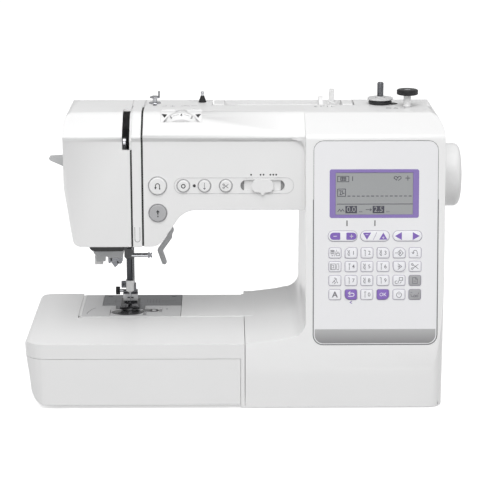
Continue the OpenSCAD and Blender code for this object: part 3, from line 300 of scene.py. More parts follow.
def relief(tree, value, shader, strength, depth, radius):
    """A fine relief from the value, on edges that look rounded by radius."""
    edge = tree.nodes.new("ShaderNodeBevel")
    edge.samples = 4
    edge.inputs["Radius"].default_value = radius
    bump = tree.nodes.new("ShaderNodeBump")
    bump.inputs["Strength"].default_value = strength
    bump.inputs["Distance"].default_value = depth
    tree.links.new(value, bump.inputs["Height"])
    tree.links.new(edge.outputs["Normal"], bump.inputs["Normal"])
    tree.links.new(bump.outputs["Normal"], shader.inputs["Normal"])


def to_linear(hex_colour):
    """A colour written as it looks, such as "F0F0EE", as the shader wants it."""
    parts = [int(hex_colour[i:i + 2], 16) / 255 for i in (0, 2, 4)]
    parts = [p / 12.92 if p <= 0.04045 else ((p + 0.055) / 1.055) ** 2.4 for p in parts]
    return (*parts, 1.0)


def moulded(name, look, roughness, grain=0.25):
    """Moulded plastic: a slight cloudiness in colour and gloss, a fine grain and worn-soft edges."""
    made, tree, shader = new_material(name)
    colour = to_linear(look)
    cloudy = [part * 0.98 for part in colour[:3]] + [1]
    place = tree.nodes.new("ShaderNodeTexCoord").outputs["Object"]
    broad = noise(tree, 11, 3, place)
    tint(tree, broad, shader.inputs["Base Color"], cloudy, colour, (0.3, 0.7))
    vary(tree, broad, shader.inputs["Roughness"], roughness - 0.04, roughness + 0.04)
    relief(tree, noise(tree, 1500, 2, place), shader, grain, 0.00002, 0.0005)
    return made


def finish_with(piece, material):
    """Gives every face of a piece, or of a CAD node, the one material."""
    if not piece.material_slots:
        piece.data.materials.append(material)
    for place in piece.material_slots:
        place.material = material


def fit(piece, material, body, cad_node=None):
    """Finishes a new piece and hangs it on its body, in place of a CAD node where one is named."""
    finish_with(piece, material)
    if cad_node:
        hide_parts(cad_node)
    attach(piece, body)


def smooth_over(mesh, angle):
    """Shades the mesh smooth, but for edges sharper than the angle."""
    mesh.shade_smooth()
    mesh.set_sharp_from_angle(angle=math.radians(angle))


white_shell = moulded("white_shell", "F0F0F0", 0.32)


def moulded_shell(name, cad_node, skin_solid, body):
    """The CAD wall trimmed back to the rounded outer skin."""
    made = bpy.data.objects.new(name, node[cad_node].data.copy())
    scene.collection.objects.link(made)
    work = bmesh.new()
    work.from_mesh(made.data)
    bmesh.ops.remove_doubles(work, verts=work.verts, dist=0.000002)
    work.to_mesh(made.data)
    work.free()
    if made.data.has_custom_normals:
        made.data.normals_split_custom_set([(0, 0, 0)] * len(made.data.loops))
    carve(made, skin_solid, "INTERSECT", keep_tool=True)
    fit(made, white_shell, body, cad_node)
    smooth_over(made.data, 28)


moulded_shell("front_casing", "front_cover", arm_solid, "frame")
moulded_shell("rear_casing", "rear_cover", arm_solid, "frame")
moulded_shell("face_casing", "face_cover", arm_solid, "frame")
bpy.data.objects.remove(arm_solid)


# ---- Bed, base pan and rubber feet ----
# The bed cover of the free arm and the grey pan below are ABS mouldings, and thin white walls close
# the sides between them. The six feet are pushed into holes in the pan.

def edged(piece, width, steps=2):
    """Takes the sharp corners off a piece."""
    step = piece.modifiers.new("edge", "BEVEL")
    step.width = width * MM
    step.segments = steps
    step.limit_method = "ANGLE"
    step.angle_limit = math.radians(40)


def finish_node(name, material, width=0.0, steps=2):
    """Finishes a piece kept from the CAD model, and takes its corners off where a width is given."""
    finish_with(node[name], material)
    if width:
        edged(node[name], width, steps)


finish_node("bed_cover", white_shell)
pan_plastic = moulded("pan_plastic", "C9C9CB", 0.5)
finish_node("base_pan", pan_plastic)
foot_rubber = moulded("foot_rubber", "4A4A4C", 0.8, grain=0.6)
finish_node("rubber_feet", foot_rubber)
bed_joint = prism("bed_joint", [
    (-4.5, 62.2), (-4.5, 63), (-2.4, 63.01), (6, 63.01), (8.2, 63.02), (8.2, 62.4)], "y", 1.5, 78.5)
fit(bed_joint, white_shell, "frame")
for name, y in (("pan_side_front", 8.05), ("pan_side_back", 68.05)):
    side = prism(name, [(-65.9, 9.6), (-65.9, 20), (-61.9, 23.9), (-2.8, 23.9), (-2.8, 9.6)], "y", y,
                 y + 1.9)
    fit(side, white_shell, "frame")


# ---- Extension table with its flap ----
# A hollow white ABS tray that slides on round the free arm. Its front wall is a flap that tips
# forward on two pins; the seam between them runs round the left corner.

table_solid = prism(
    "table_solid",
    arc(-182, 21, 19.5 - skin, 270, 188, 14)
    + [(-203.3 + skin, 34), (-206 + skin, 49), (-207.5 + skin, 58)]
    + arc(-202.5, 58, 5 - skin, 180, 90, 6)
    + [(-2.9, 63 - skin), (-2.9, 1.5 + skin)],
    "y", -90, 90)
table_plan = prism(
    "table_plan",
    [(-2.9, 95), (-2.9, -90 + skin)]
    + arc(-185.5, -68, 22 - skin, 270, 180, 12)
    + arc(-193.5, 68, 14 - skin, 180, 90, 8)
    + [(-163, 82 - skin), (-100, 95)],
    "z", 1, 64)
carve(table_solid, table_plan, "INTERSECT")
soften_edges(table_solid, 3.2, lambda middle: middle.z > 3 and middle.x < -4
             and not (middle.y > 78 and middle.x > -165))
moulded_shell("table_shell", "extension_table", table_solid, "table")
moulded_shell("table_flap", "accessory_lid", table_solid, "flap")
bpy.data.objects.remove(table_solid)


# ---- Key panel ----
# A satin white plate leans back in a recess of the column. A dark grey ring of painted shade fills
# the gap round it, and a glossy grey strip is printed across its foot.

panel_up = Vector((0, math.sin(lean), math.cos(lean)))
panel_out = Vector((0, -math.cos(lean), math.sin(lean)))


def on_panel(x, z, out=0.0):
    """A point on the leaning panel, in metres: x along it, z its height, out of its face."""
    return (Vector((x, -86, 63)) + panel_up * ((z - 63) / math.cos(lean)) + panel_out * out) * MM


def moved_in(outline, amount):
    """The outline with every side moved inwards by amount."""
    made = []
    count = len(outline)
    for i in range(count):
        here = Vector(outline[i])
        before = (here - Vector(outline[i - 1])).normalized()
        after = (Vector(outline[(i + 1) % count]) - here).normalized()
        side = Vector((-before.y - after.y, before.x + after.x)).normalized()
        reach = amount / max(0.5, side.dot(Vector((-before.y, before.x))))
        made.append(tuple(here + side * reach))
    return made


def plates(name, outlines, place, low, high, soft=0.0, steps=3):
    """Flat plates, one for each outline, from low to high, with soft front edges."""
    points = []
    faces = []
    levels = [(0, low), (0, high - soft)]
    if soft:
        turns = [math.pi / 2 * i / steps for i in range(1, steps + 1)]
        levels += [(soft * (1 - math.cos(a)), high - soft + soft * math.sin(a)) for a in turns]
    for outline in map(anticlockwise, outlines):
        count = len(outline)
        start = len(points)
        for inset, height in levels:
            ring = moved_in(outline, inset) if inset else outline
            points += [place(u, v, height) for u, v in ring]
        last = start + (len(levels) - 1) * count
        faces.append(list(range(start, start + count))[::-1])
        for base in range(start, last, count):
            faces += wall(base, base + count, count)
        faces.append(list(range(last, last + count)))
    made = new_piece(name, points, faces)
    smooth_over(made.data, 35)
    return made


def patches(name, areas, place, material, body, base=0.0, lift=0.05):
    """Filled areas printed on a face, as one thin raised piece."""
    made = plates(name, areas, place, base, base + lift)
    fit(made, material, body)
    return made


def box_outline(x, z, w, h, radii, steps=5):
    """A rectangle about (x, z) with one radius, or four from the right top corner anticlockwise."""
    made = []
    radii = [radii] * 4 if isinstance(radii, (int, float)) else radii
    corners = ((1, 1, 0), (-1, 1, 90), (-1, -1, 180), (1, -1, 270))
    for (sx, sz, turn), radius in zip(corners, radii):
        made += arc(x + sx * (w / 2 - radius), z + sz * (h / 2 - radius), radius, turn, turn + 90,
                    steps)
    return made


panel_white = moulded("panel_white", "F0F0F2", 0.3, grain=0.15)
finish_node("panel_frame", panel_white)
dark_gap_shade_and_ink = moulded("dark_gap_shade_and_ink", "6E6E70", 0.5)
strip_grey, tree, shader = new_material("strip_grey")
place = tree.nodes.new("ShaderNodeTexCoord")
heights = tree.nodes.new("ShaderNodeSeparateXYZ")
tree.links.new(place.outputs["Generated"], heights.inputs["Vector"])
tint(tree, heights.outputs["Z"], shader.inputs["Base Color"], to_linear("8C8C8D"), to_linear("B8B8B9"))
shader.inputs["Roughness"].default_value = 0.25
strip = patches("panel_strip", [box_outline(117.3, 68.8, 111.4, 13, (0.4, 0.4, 7.8, 7.8), 8)],
                on_panel, strip_grey, "frame", lift=0.12)


def rings(name, pairs, place, low, high):
    """Flat rings from low to high, each between an outer and an inner outline of as many points."""
    points = []
    faces = []
    for outer, inner in pairs:
        count = len(outer)
        start = len(points)
        for outline, height in ((outer, low), (outer, high), (inner, high), (inner, low)):
            points += [place(u, v, height) for u, v in outline]
        for level in range(4):
            faces += wall(start + level * count, start + (level + 1) % 4 * count, count)
    return new_piece(name, points, faces)


panel_edge = box_outline(117.3, 154.2, 114.2, 186.3, 9, 8)
# The dark grey ring round the plate is painted shade in the gap between the plate and its recess.
panel_gap_shade = rings("panel_gap_shade", [(moved_in(panel_edge, -0.5), moved_in(panel_edge, 0.4))],
                  on_panel, -0.5, 0.1)
fit(panel_gap_shade, dark_gap_shade_and_ink, "frame")


# ---- Display window ----
# A liquid-crystal glass behind a window in the panel. A purple border is printed round the window,
# and dark segments show a stitch with its width and length.

bezel_purple = moulded("bezel_purple", "8F7CBB", 0.25, grain=0.05)
glass_grey = moulded("glass_grey", "A6A8A9", 0.15, grain=0.02)
segment_ink = moulded("segment_ink", "4B4A55", 0.3, grain=0.02)
purple_ink = moulded("purple_ink", "8467BA", 0.35, grain=0.1)
finish_node("display", glass_grey)
border = rings("display_border",
               [(box_outline(115.8, 199.3, 81.8, 44.2, 2),
                 box_outline(115.8, 199.3, 70.9, 38.1, 0.6))],
               on_panel, -0.05, 0.06)
fit(border, bezel_purple, "frame")


def lettering(name, words, place, material, body, base=0.0, bold=0.0):
    """Numbers and letters, each word at its own place and height, laid on a face as ink."""
    work = bmesh.new()
    for text, u, v, height in words:
        curve = bpy.data.curves.new("word", "FONT")
        curve.body = text
        curve.size = height * 1.38
        curve.align_x = "CENTER"
        curve.align_y = "CENTER"
        curve.extrude = 0.02
        curve.offset = bold
        word = bpy.data.objects.new("word", curve)
        scene.collection.objects.link(word)
        settled = bpy.data.meshes.new_from_object(
            word.evaluated_get(bpy.context.evaluated_depsgraph_get()))
        for vert in settled.vertices:
            vert.co = place(u + vert.co.x, v + vert.co.y, base + 0.02 + vert.co.z)
        work.from_mesh(settled)
        bpy.data.objects.remove(word)
    made = new_piece(name, [], [])
    work.to_mesh(made.data)
    work.free()
    fit(made, material, body)


def frame_line(x0, z0, x1, z1):
    """The four sides of an upright rectangle as one line."""
    return [(x0, z0), (x1, z0), (x1, z1), (x0, z1), (x0, z0 - 0.01)]


def filled(x0, z0, x1, z1):
    """An upright rectangle as a filled area."""
    return [(x0, z0), (x1, z0), (x1, z1), (x0, z1)]


def ribbon(line, width):
    """The outline of a line drawn with a flat pen."""
    left_side = []
    right_side = []
    for i, point in enumerate(line):
        here = Vector(point)
        before = (here - Vector(line[i - 1])).normalized() if i else None
        after = (Vector(line[i + 1]) - here).normalized() if i < len(line) - 1 else None
        before = before or after
        after = after or before
        side = Vector((-before.y - after.y, before.x + after.x)).normalized()
        reach = width / 2 / max(0.5, side.dot(Vector((-before.y, before.x))))
        along = (after if i == 0 else before) * (width / 2 if i in (0, len(line) - 1) else 0)
        along = -along if i == 0 else along
        left_side.append(tuple(here + side * reach + along))
        right_side.append(tuple(here - side * reach + along))
    return left_side + right_side[::-1]


def printed(name, lines, place, width, material, body, base=0.0, lift=0.05, areas=()):
    """Lines drawn on a face with a pen of this width, and areas filled with the same ink."""
    outlines = [ribbon(line, width) for line in lines] + list(areas)
    return patches(name, outlines, place, material, body, base, lift)


glass_face = -0.4


def on_glass(x, z, out=0.0):
    """A point on the display's glass, which lies a little to the left of the panel's middle."""
    return on_panel(x - 2.6, z + 0.3, out)


segments = [
    frame_line(84.8, 209.8, 95, 214.8), frame_line(87.5, 211, 92.3, 213.7),
    [(89.1, 211), (89.1, 213.7)], [(90.7, 211), (90.7, 213.7)], [(87.5, 212.4), (92.3, 212.4)],
    frame_line(84.8, 196.6, 92, 203.2), [(86, 201.6), (88.2, 201.6), (87, 198), (89, 198)],
    [(89.4, 201.8), (89.4, 199), (90.9, 199.4)], [(84.5, 189.5), (153.4, 189.5)],
    [(85, 182.6), (86.6, 184.8), (88, 182.8), (89.4, 184.9), (90.8, 183)],
    [(111, 184.4), (115.8, 184.4), (114.6, 185.3)], [(115.8, 184.4), (114.6, 183.5)],
    [(147, 213), (151, 213)], [(149, 211), (149, 215)]]
segments += [arc(137.9, 213.2, 1.5, 200, 0, 6) + [(138.6, 211.2), (136.5, 213)],
             arc(141.4, 213.2, 1.5, 180, -20, 6) + [(140.4, 211)]]
printed("display_segments", segments, on_glass, 0.55, segment_ink, "frame", base=glass_face,
        areas=[filled(94 + 4.3 * i, 196.4, 96.6 + 4.3 * i, 197.1) for i in range(14)]
        + [filled(92, 181.2, 102.6, 187.8), filled(117, 181.2, 127.6, 187.8)])
lettering("display_figures", [("1", 98.4, 212.4, 4.4)], on_glass, segment_ink, "frame", glass_face)
lettering("display_units", [("mm", 106, 182.6, 1.5), ("mm", 131, 182.6, 1.5)],
          on_glass, segment_ink, "frame", glass_face)
lettering("display_values", [("0.0", 97.3, 184.5, 5), ("2.5", 122.3, 184.5, 5)],
          on_glass, glass_grey, "frame", glass_face + 0.05, 0.02)
printed("panel_marks", [[(90.9, 170.4), (90.9, 174.4)], [(116.5, 170.4), (116.5, 174.4)]],
        on_panel, 1.1, dark_gap_shade_and_ink, "frame")
printed("panel_back_mark", [[(95.6, 101), (94, 100), (95.6, 99)]], on_panel, 0.6, purple_ink, "frame")


# ---- Keys ----
# One silicone moulding with 24 keys. Each key shows through its own hole in the panel, ringed by
# painted shade in the gap; two keys are purple and two are grey, and the signs are printed on their
# tops.

key_columns = [80, 94.8, 109.4, 124.2, 139, 153.6]
key_rows = [145.3, 132.8, 120, 107.1]
key_top = 0.8
wide_corners = {(1, 0): (1.5, 4, 1.5, 1.5), (3, 0): (4, 1.5, 1.5, 1.5), (4, 0): (4, 4, 1.5, 1.5),
                (4, 1): (1.5, 1.5, 4, 4), (1, 3): (1.5, 1.5, 4, 1.5), (3, 3): (1.5, 1.5, 1.5, 4)}


def key_outline(column, row, grow=0.0):
    """The outline of one key, grown by a little for the hole round it."""
    corners = wide_corners.get((column, row), [1.5] * 4)
    return box_outline(key_columns[column], key_rows[row], 10.8 + 2 * grow, 9.1 + 2 * grow,
                       [radius + grow for radius in corners])


key_white = moulded("key_white", "F2F2F6", 0.5, grain=0.3)
key_purple = moulded("key_purple", "8A6BBE", 0.45, grain=0.3)
key_grey = moulded("key_grey", "A9A9AC", 0.5, grain=0.3)
purple_keys = [(1, 3), (3, 3)]
grey_keys = [(5, 2), (5, 3)]
all_keys = [(column, row) for column in range(6) for row in range(4)]
white_keys = [key for key in all_keys if key not in purple_keys + grey_keys]
for name, wanted, material in (
        ("keys_white", white_keys, key_white), ("keys_purple", purple_keys, key_purple),
        ("keys_grey", grey_keys, key_grey)):
    keys = plates(name, [key_outline(*key) for key in wanted], on_panel, -3, key_top, 0.5, 4)
    fit(keys, material, "keys", "keypad" if name == "keys_white" else None)
key_mat = plates("key_mat", [box_outline(118.4, 126.2, 88, 50, 3)], on_panel, -4.2, -3)
fit(key_mat, key_white, "keys")
pale_gap_shade_and_ink = moulded("pale_gap_shade_and_ink", "B9B4C6", 0.4, grain=0.05)
# The pale grey rings lie in the gaps round the keys and are painted shade.
key_gap_shade = rings("key_gap_shade", [(key_outline(*key, 0.5), key_outline(*key, 0.12)) for key in all_keys],
                  on_panel, -0.05, 0.07)
fit(key_gap_shade, pale_gap_shade_and_ink, "frame")
film = rings("panel_film",
             [(box_outline(key_columns[c], key_rows[r], 12.6, 10.9, 2.4),
               key_outline(c, r, 0.3)) for c, r in wide_corners],
             on_panel, -0.05, 0.04)
fit(film, panel_white, "frame")


def at_key(column, row, lines):
    """Moves lines drawn about a key's middle onto that key."""
    return [
        [(key_columns[column] + 0.92 * u, key_rows[row] + 0.96 * v) for u, v in line] for line in lines]


grey_signs = at_key(4, 0, [
    [(-4, 0), (1.4, 0)], [(0, 1.3), (1.4, 0), (0, -1.3)],
    [(-0.9, 1.2), (1, 2.9), (3.9, 0), (1, -2.9), (-0.9, -1.2)]])
grey_signs += at_key(5, 0, [
    [(-2.2, -0.6)] + arc(0, 0.5, 2, 160, 20, 6) + [(2.2, -1.4)],
    [(-3.3, 0.5), (-2.2, -0.8), (-1.1, 0.5)], [(1.6, -2.6), (2.8, -2.6)]])
grey_signs += at_key(4, 1, [
    [(-1.2, 2.7), (2.6, 0), (-1.2, -2.7)], [(-1.2, 0), (0.6, 0), (-0.4, 0.9)],
    [(0.6, 0), (-0.4, -0.9)]])
grey_signs += at_key(5, 1, [
    [(-2.2, 1.7), (3, -2)], [(-2.2, -1.7), (3, 2)], arc(-2.9, 2, 0.9, 0, 340, 8),
    arc(-2.9, -2, 0.9, 0, 340, 8)])
grey_signs += at_key(4, 2, [
    arc(-2.8, -1.6, 1.3, 60, 300, 6), frame_line(0.2, 0.2, 3.6, 2.8), [(0.8, -2.6), (2.2, -1.2)],
    [(-0.6, -0.4), (-1.2, -2.8)]])
grey_signs += at_key(5, 2, [
    [(1, 2.8), (-2.4, 2.8), (-2.4, -2.8), (2.4, -2.8), (2.4, 1.4), (1, 2.8)],
    [(0.6, 2.6), (0.6, 1.2), (2.2, 1.2)], [(-1, -0.6), (1, -0.6)]])
grey_signs += at_key(4, 3, [arc(0, -0.3, 2.5, 125, 415, 12), [(0, 2.9), (0, 0.2)]])
grey_signs += at_key(5, 3, [
    [(-4, 2), (-2.8, 2)], [(-4, 0.2), (-3.4, -1.8), (-1.6, -2.2)], arc(-0.2, -1.4, 1, 0, 340, 8),
    arc(2.2, -1.4, 1, 0, 340, 8), [(3.4, 0.4), (4, 1.8)]])
for column in (1, 2, 3):
    for row in range(4):
        if row == 3 and column != 2:
            continue
        grey_signs += at_key(column, row, [[(-1.8, v), (-1.8, v - 0.8)]
                                           for v in (2.7, 1.2, -0.3, -1.8)])
        wave = (column * 2 + row * 3) % 4
        if wave == 0:
            grey_signs += at_key(column, row, [[(-3, 2.7), (-1.8, 2.7)]])
        elif wave == 1:
            grey_signs += at_key(column, row, [[(-2.4, 2.7), (-0.8, 2.7)]])
        else:
            grey_signs += at_key(column, row, [[(-3.4, 2.6), (-2.6, 1), (-3.4, -0.6), (-2.6, -2.2)]])
grey_ink = moulded("grey_ink", "77767C", 0.45, grain=0.1)
printed("key_signs_grey", grey_signs, on_panel, 0.5, grey_ink, "keys", base=key_top)
figure_keys = [(n + 1, 1 + n % 3, n // 3) for n in range(9)] + [(0, 2, 3)]
figures = [(str(n), key_columns[column] + 2.1, key_rows[row], 3.6) for n, column, row in figure_keys]
figures.append(("2", key_columns[0] - 1.6, key_rows[1], 3))
lettering("key_figures", figures, on_panel, grey_ink, "keys", key_top, 0.02)
purple_signs = at_key(0, 0, [
    frame_line(-4.2, -0.6, -0.9, 2.7), [(-4.2, 1.6), (-0.9, 1.6)], [(-3.1, 2.7), (-3.1, -0.6)],
    [(-2, 2.7), (-2, -0.6)], [(-3.4, -1.8), (-2.6, -2.6), (-1.8, -1.8)], [(-0.5, -2.8), (1.5, 2.8)],
    frame_line(1.4, -2.4, 4.4, -0.2), [(2.1, 0.6), (2.9, 1.1), (3.7, 0.6)]])
purple_signs += at_key(0, 1, [
    frame_line(-3.6, -2.7, 0.4, 2.7), [(-4.4, 2.8), (-4.4, -2.8)], [(1.6, 2.7), (3.8, 2.7)],
    [(3.8, 1.8), (3.8, -1.8)], [(1.6, -2.7), (3.8, -2.7)], [(1.6, 1.8), (1.6, -1.8)]])
purple_signs += at_key(0, 2, [
    [(-0.6, 2.8), (0.8, 1.2), (-1, -0.4), (0.8, -1.8), (-0.8, -3)],
    [(0.6, 2.8), (1.6, 1.6), (1.6, -0.4), (2.8, -2.2)], [(-2.6, -2.2), (-0.2, 0.6)]])
printed("key_signs_purple", purple_signs, on_panel, 0.42, grey_ink, "keys", base=key_top)
lettering("key_letter", [("A", key_columns[0], key_rows[3], 5.4)], on_panel, grey_ink, "keys", key_top,
          0.16)
white_ink = moulded("white_ink", "F4F2FA", 0.4, grain=0.1)
printed("key_signs_white",
        at_key(1, 3, [[(-1, 0.2), (-2.6, 1.5), (-1, 2.8)],
                      [(-2.6, 1.5)] + arc(1.6, 0, 1.5, 90, -90, 6) + [(-2.2, -1.5)]]),
        on_panel, 0.8, white_ink, "keys", base=key_top)
lettering("key_words", [("OK", key_columns[3], key_rows[3], 3.2)], on_panel, white_ink, "keys",
          key_top, 0.03)


# ---- Rocker keys ----
# Three long white keys under the display, each pressed at its left or its right end. The purple
# blocks, triangles and arrows are printed on them.

rocker_top = 0.9
rocker_z = 160.7
rocker_white = moulded("rocker_white", "F4F4F8", 0.4, grain=0.2)
for body, name, middle in (
        ("rocker_left", "rocker_minus_plus", 87), ("rocker_middle", "rocker_down_up", 116.6),
        ("rocker_right", "rocker_left_right", 146.4)):
    rocker = plates("face_" + name, [box_outline(middle, rocker_z, 26.4, 9.1, 4.5, 8)],
                    on_panel, -2.2, rocker_top, 0.6, 4)
    fit(rocker, rocker_white, body, name)
# Painted shade in the gaps round the rocker keys, as a pale grey ring each.
rocker_gap_shade = rings("rocker_gap_shade",
                     [(box_outline(x, rocker_z, 27.4, 10.1, 5, 8),
                       box_outline(x, rocker_z, 26.7, 9.4, 4.65, 8)) for x in (87, 116.6, 146.4)],
                     on_panel, -0.05, 0.07)
fit(rocker_gap_shade, pale_gap_shade_and_ink, "frame")
patches("signs_minus_plus", [
    box_outline(87 - 7, rocker_z, 9.4, 6.6, (0.8, 3.2, 3.2, 0.8)),
    box_outline(87 + 8, rocker_z, 9.4, 6.6, (3.2, 0.8, 0.8, 3.2))], on_panel, purple_ink,
    "rocker_left", base=rocker_top)
patches("signs_down_up", [
    [(116.6 - 11.2, 163.9), (116.6 - 7.4, 157.5), (116.6 - 3.6, 163.9)],
    [(116.6 + 3.8, 157.5), (116.6 + 11.4, 157.5), (116.6 + 7.6, 163.9)]], on_panel, purple_ink,
    "rocker_middle", base=rocker_top)
printed("signs_slash", [[(115.1, 157.5), (118.1, 163.9)]], on_panel, 0.5, pale_gap_shade_and_ink, "rocker_middle",
        base=rocker_top)
patches("signs_left_right", [
    [(146.4 - 11.5, rocker_z), (146.4 - 5.2, 157.1), (146.4 - 5.2, 164.3)],
    [(146.4 + 11.2, rocker_z), (146.4 + 4.8, 164.3), (146.4 + 4.8, 157.1)]], on_panel, purple_ink,
    "rocker_right", base=rocker_top)
printed("marks_minus_plus", [
    [(78.7, rocker_z), (81.3, rocker_z)], [(93.7, rocker_z), (96.3, rocker_z)],
    [(95, 159.4), (95, 162)]], on_panel, 0.6, white_ink, "rocker_left", base=rocker_top + 0.05)
printed("marks_down_up", [
    [(108.2, 162.1), (110.2, 162.1)], [(123.4, 159.3), (125, 159.3)],
    [(124.2, 158.5), (124.2, 160.1)]], on_panel, 0.5, white_ink, "rocker_middle",
    base=rocker_top + 0.05)


# ---- Buttons on the arm ----
# Five round ABS push buttons in holes of the front cover: two large, one of them grey, and three
# small. Each has a soft rim, a flange behind the wall and a printed sign.

def turned(name, profile, middle, axis="z", steps=48):
    """A piece turned on a lathe: (radius, height) pairs spun about an axis through middle."""
    place = {
        "x": lambda r, a, h: (h, r * math.cos(a), r * math.sin(a)),
        "front": lambda r, a, h: (r * math.cos(a), -h, r * math.sin(a)),
        "z": lambda r, a, h: (r * math.cos(a), r * math.sin(a), h),
    }[axis]
    points = []
    faces = []
    turns = [2 * math.pi * i / steps for i in range(steps)]
    starts = []
    for radius, height in profile:
        starts.append(len(points))
        around = turns if radius else [0]
        points += [(Vector(place(radius, a, height)) + Vector(middle)) * MM for a in around]
    for level in range(len(profile) - 1):
        low, high = starts[level:level + 2]
        if not profile[level][0]:
            faces += [[low, high + (i + 1) % steps, high + i] for i in range(steps)]
        elif not profile[level + 1][0]:
            faces += [[low + i, low + (i + 1) % steps, high] for i in range(steps)]
        else:
            faces += wall(low, high, steps)
    made = new_piece(name, points, faces)
    work = bmesh.new()
    work.from_mesh(made.data)
    bmesh.ops.recalc_face_normals(work, faces=work.faces)
    work.to_mesh(made.data)
    work.free()
    smooth_over(made.data, 35)
    return made


def on_arm(x, z, out=0.0):
    """A point on the arm's upright front face."""
    return Vector((x, -46 - out, z)) * MM


def circle(x, z, radius, count=24):
    """A round outline of count points."""
    return arc(x, z, radius, 0, 360 - 360 / count, count - 1)


button_white = moulded("button_white", "EFEFEF", 0.32, grain=0.1)
button_grey = moulded("button_grey", "B2B2B4", 0.35, grain=0.1)
black_ink = moulded("black_ink", "2B2B2D", 0.4, grain=0.1)
ring_grey = moulded("ring_grey", "C2C2C4", 0.4, grain=0.1)
large_x = -83
button_z = 202.5
start_z = 176.8
buttons = (("reverse", "reverse_button", large_x, button_z, 8, button_white),
           ("start_stop", "start_stop_button", large_x, start_z, 8, button_grey),
           ("reinforce", "reinforce_button", -59.2, button_z, 5.5, button_white),
           ("needle_up_down", "needle_button", -39.7, button_z, 5.5, button_white),
           ("cutter", "cutter_button", -20, button_z, 5.5, button_white))
for label, cad_name, x, z, radius, material in buttons:
    rim = [(radius - 1 + math.sin(a), 1 + math.cos(a)) for a in [math.pi / 2 * i / 4 for i in range(5)]]
    button = turned("button_" + label, [(0, 1.85), (radius * 0.7, 1.95)] + rim
                    + [(radius, -2.8), (radius + 1.5, -2.8), (radius + 1.5, -4.3), (2.5, -4.3),
                       (2.5, -9.8), (0, -9.8)], (x, -46, z), "front")
    fit(button, material, label, cad_name)
button_rings = rings("button_rings",
                     [(circle(x, z, radius + 0.95, 48), circle(x, z, radius + 0.35, 48))
                      for _, _, x, z, radius, _ in buttons],
                     on_arm, -0.15, 0.03)
fit(button_rings, ring_grey, "frame")
# The grey ring is painted shade in the groove round the button row.
groove = rings("button_groove_shade",
               [(box_outline(-12.5, button_z, 111, 15.2, 7.5, 10),
                 box_outline(-12.5, button_z, 110.3, 14.5, 7.15, 10))],
               on_arm, -0.15, 0.02)
groove_shade_grey = moulded("groove_shade_grey", "D4D4D5", 0.4)
fit(groove, groove_shade_grey, "frame")
cap_face = 1.96


def about(x, z, lines):
    """Moves lines drawn about the origin to a button's middle."""
    return [[(x + u, z + v) for u, v in line] for line in lines]


return_line = [(-1.9, -2.2), (-1.9, 0.4)] + arc(0, 0.6, 1.9, 180, 0, 8) + [(1.9, -1.6)]
return_ends = [[(-3.1, -1), (-1.9, -2.8), (-0.7, -1)], filled(1.3, -2.9, 2.5, -2)]
printed("sign_reverse", about(large_x, button_z, [return_line]), on_arm, 0.75, black_ink, "reverse",
        base=cap_face, areas=about(large_x, button_z, return_ends))
patches("sign_start_stop", about(large_x, start_z, [
    [(-1.8, 1), (1.8, 1), (0, 3.4)], filled(-0.55, -1.1, 0.55, 1.1), filled(-0.5, -3.6, 0.5, -2.1)]),
    on_arm, black_ink, "start_stop", base=cap_face)
ring_sign = rings("sign_reinforce_ring", [(circle(-59.2, button_z, 2.1), circle(-59.2, button_z, 1.3))],
                  on_arm, cap_face - 0.1, cap_face + 0.05)
fit(ring_sign, black_ink, "reinforce")
printed("sign_needle", about(-39.7, button_z, [
    [(0, 3), (0, 1.6)], [(0, 0.9), (0, -0.5)], [(0, -1.2), (0, -2.6)],
    [(-0.9, -1.9), (0, -2.9), (0.9, -1.9)]]), on_arm, 0.45, grey_ink, "needle_up_down", base=cap_face)
printed("sign_cutter", about(-20, button_z, [
    [(-1.6, 1.2), (2.2, -1.6)], [(-1.6, -1.2), (2.2, 1.6)], arc(-2.1, 1.5, 0.75, 0, 340, 8),
    arc(-2.1, -1.5, 0.75, 0, 340, 8)]), on_arm, 0.42, grey_ink, "cutter", base=cap_face)
patches("dot_between_buttons", [circle(-49.1, button_z, 1.4)], on_arm, black_ink, "frame")


# ---- Speed slider ----
# A white ABS knob slides in a slot with round ends; a grey strip behind it closes the slot. One, two
# and three dots over the slot stand for slow to fast.

finish_node("speed_slider", button_white)
slot_strip = plates("slot_strip", [box_outline(14, button_z, 46, 14, 2)], on_arm, -5.4, -4.7)
slot_grey = moulded("slot_grey", "BDBDBE", 0.5)
fit(slot_strip, slot_grey, "frame")
patches("speed_dots", [circle(x, 212.8, 0.8, 12) for x in (3.4, 12.1, 14.9, 21.2, 23.9, 26.6)], on_arm,
        black_ink, "frame")


# ---- Thread channels and take-up slot ----
# Two narrow channels lead the thread down the front of the head to the needle, on both sides of a
# strip of the front cover. Black strips in them are painted shade; the take-up lever moves in the wider
# slot.

finish_node("thread_strip", white_shell)
recess_shade_black = moulded("recess_shade_black", "131314", 0.5)
mark_grey = moulded("mark_grey", "8E8E90", 0.45, grain=0.1)
channel_path = [
    (-46, 145), (-46, 244.5), (-48.5, 248.5), (-45.5, 251.5), (-28.8, 264.2), (-20, 268), (2, 268)]


def channel_floor(name, x0, x1, points):
    """A black strip of painted shade along the bottom of a channel, sunk below the cover's surface."""
    sunk = 0.8
    upper = [(y + 0.75 * sunk, z - (0.66 * sunk if z > 247 else 0)) for y, z in points]
    lower = [(y + 0.5, z - (0.4 if z > 247 else 0)) for y, z in upper]
    made = prism(name, upper + lower[::-1], "x", x0, x1)
    fit(made, recess_shade_black, "frame")


channel_floor("channel_right", -98.02, -96.18, channel_path)
channel_floor("channel_left", -108.1, -106.38, [(-46, 145), (-46, 236)])
printed("strip_line", [[(-104.7, 163), (-104.7, 151.4)] + arc(-102.3, 151.4, 2.4, 180, 360, 8)
                       + [(-99.9, 163)]],
        on_arm, 0.45, mark_grey, "frame")


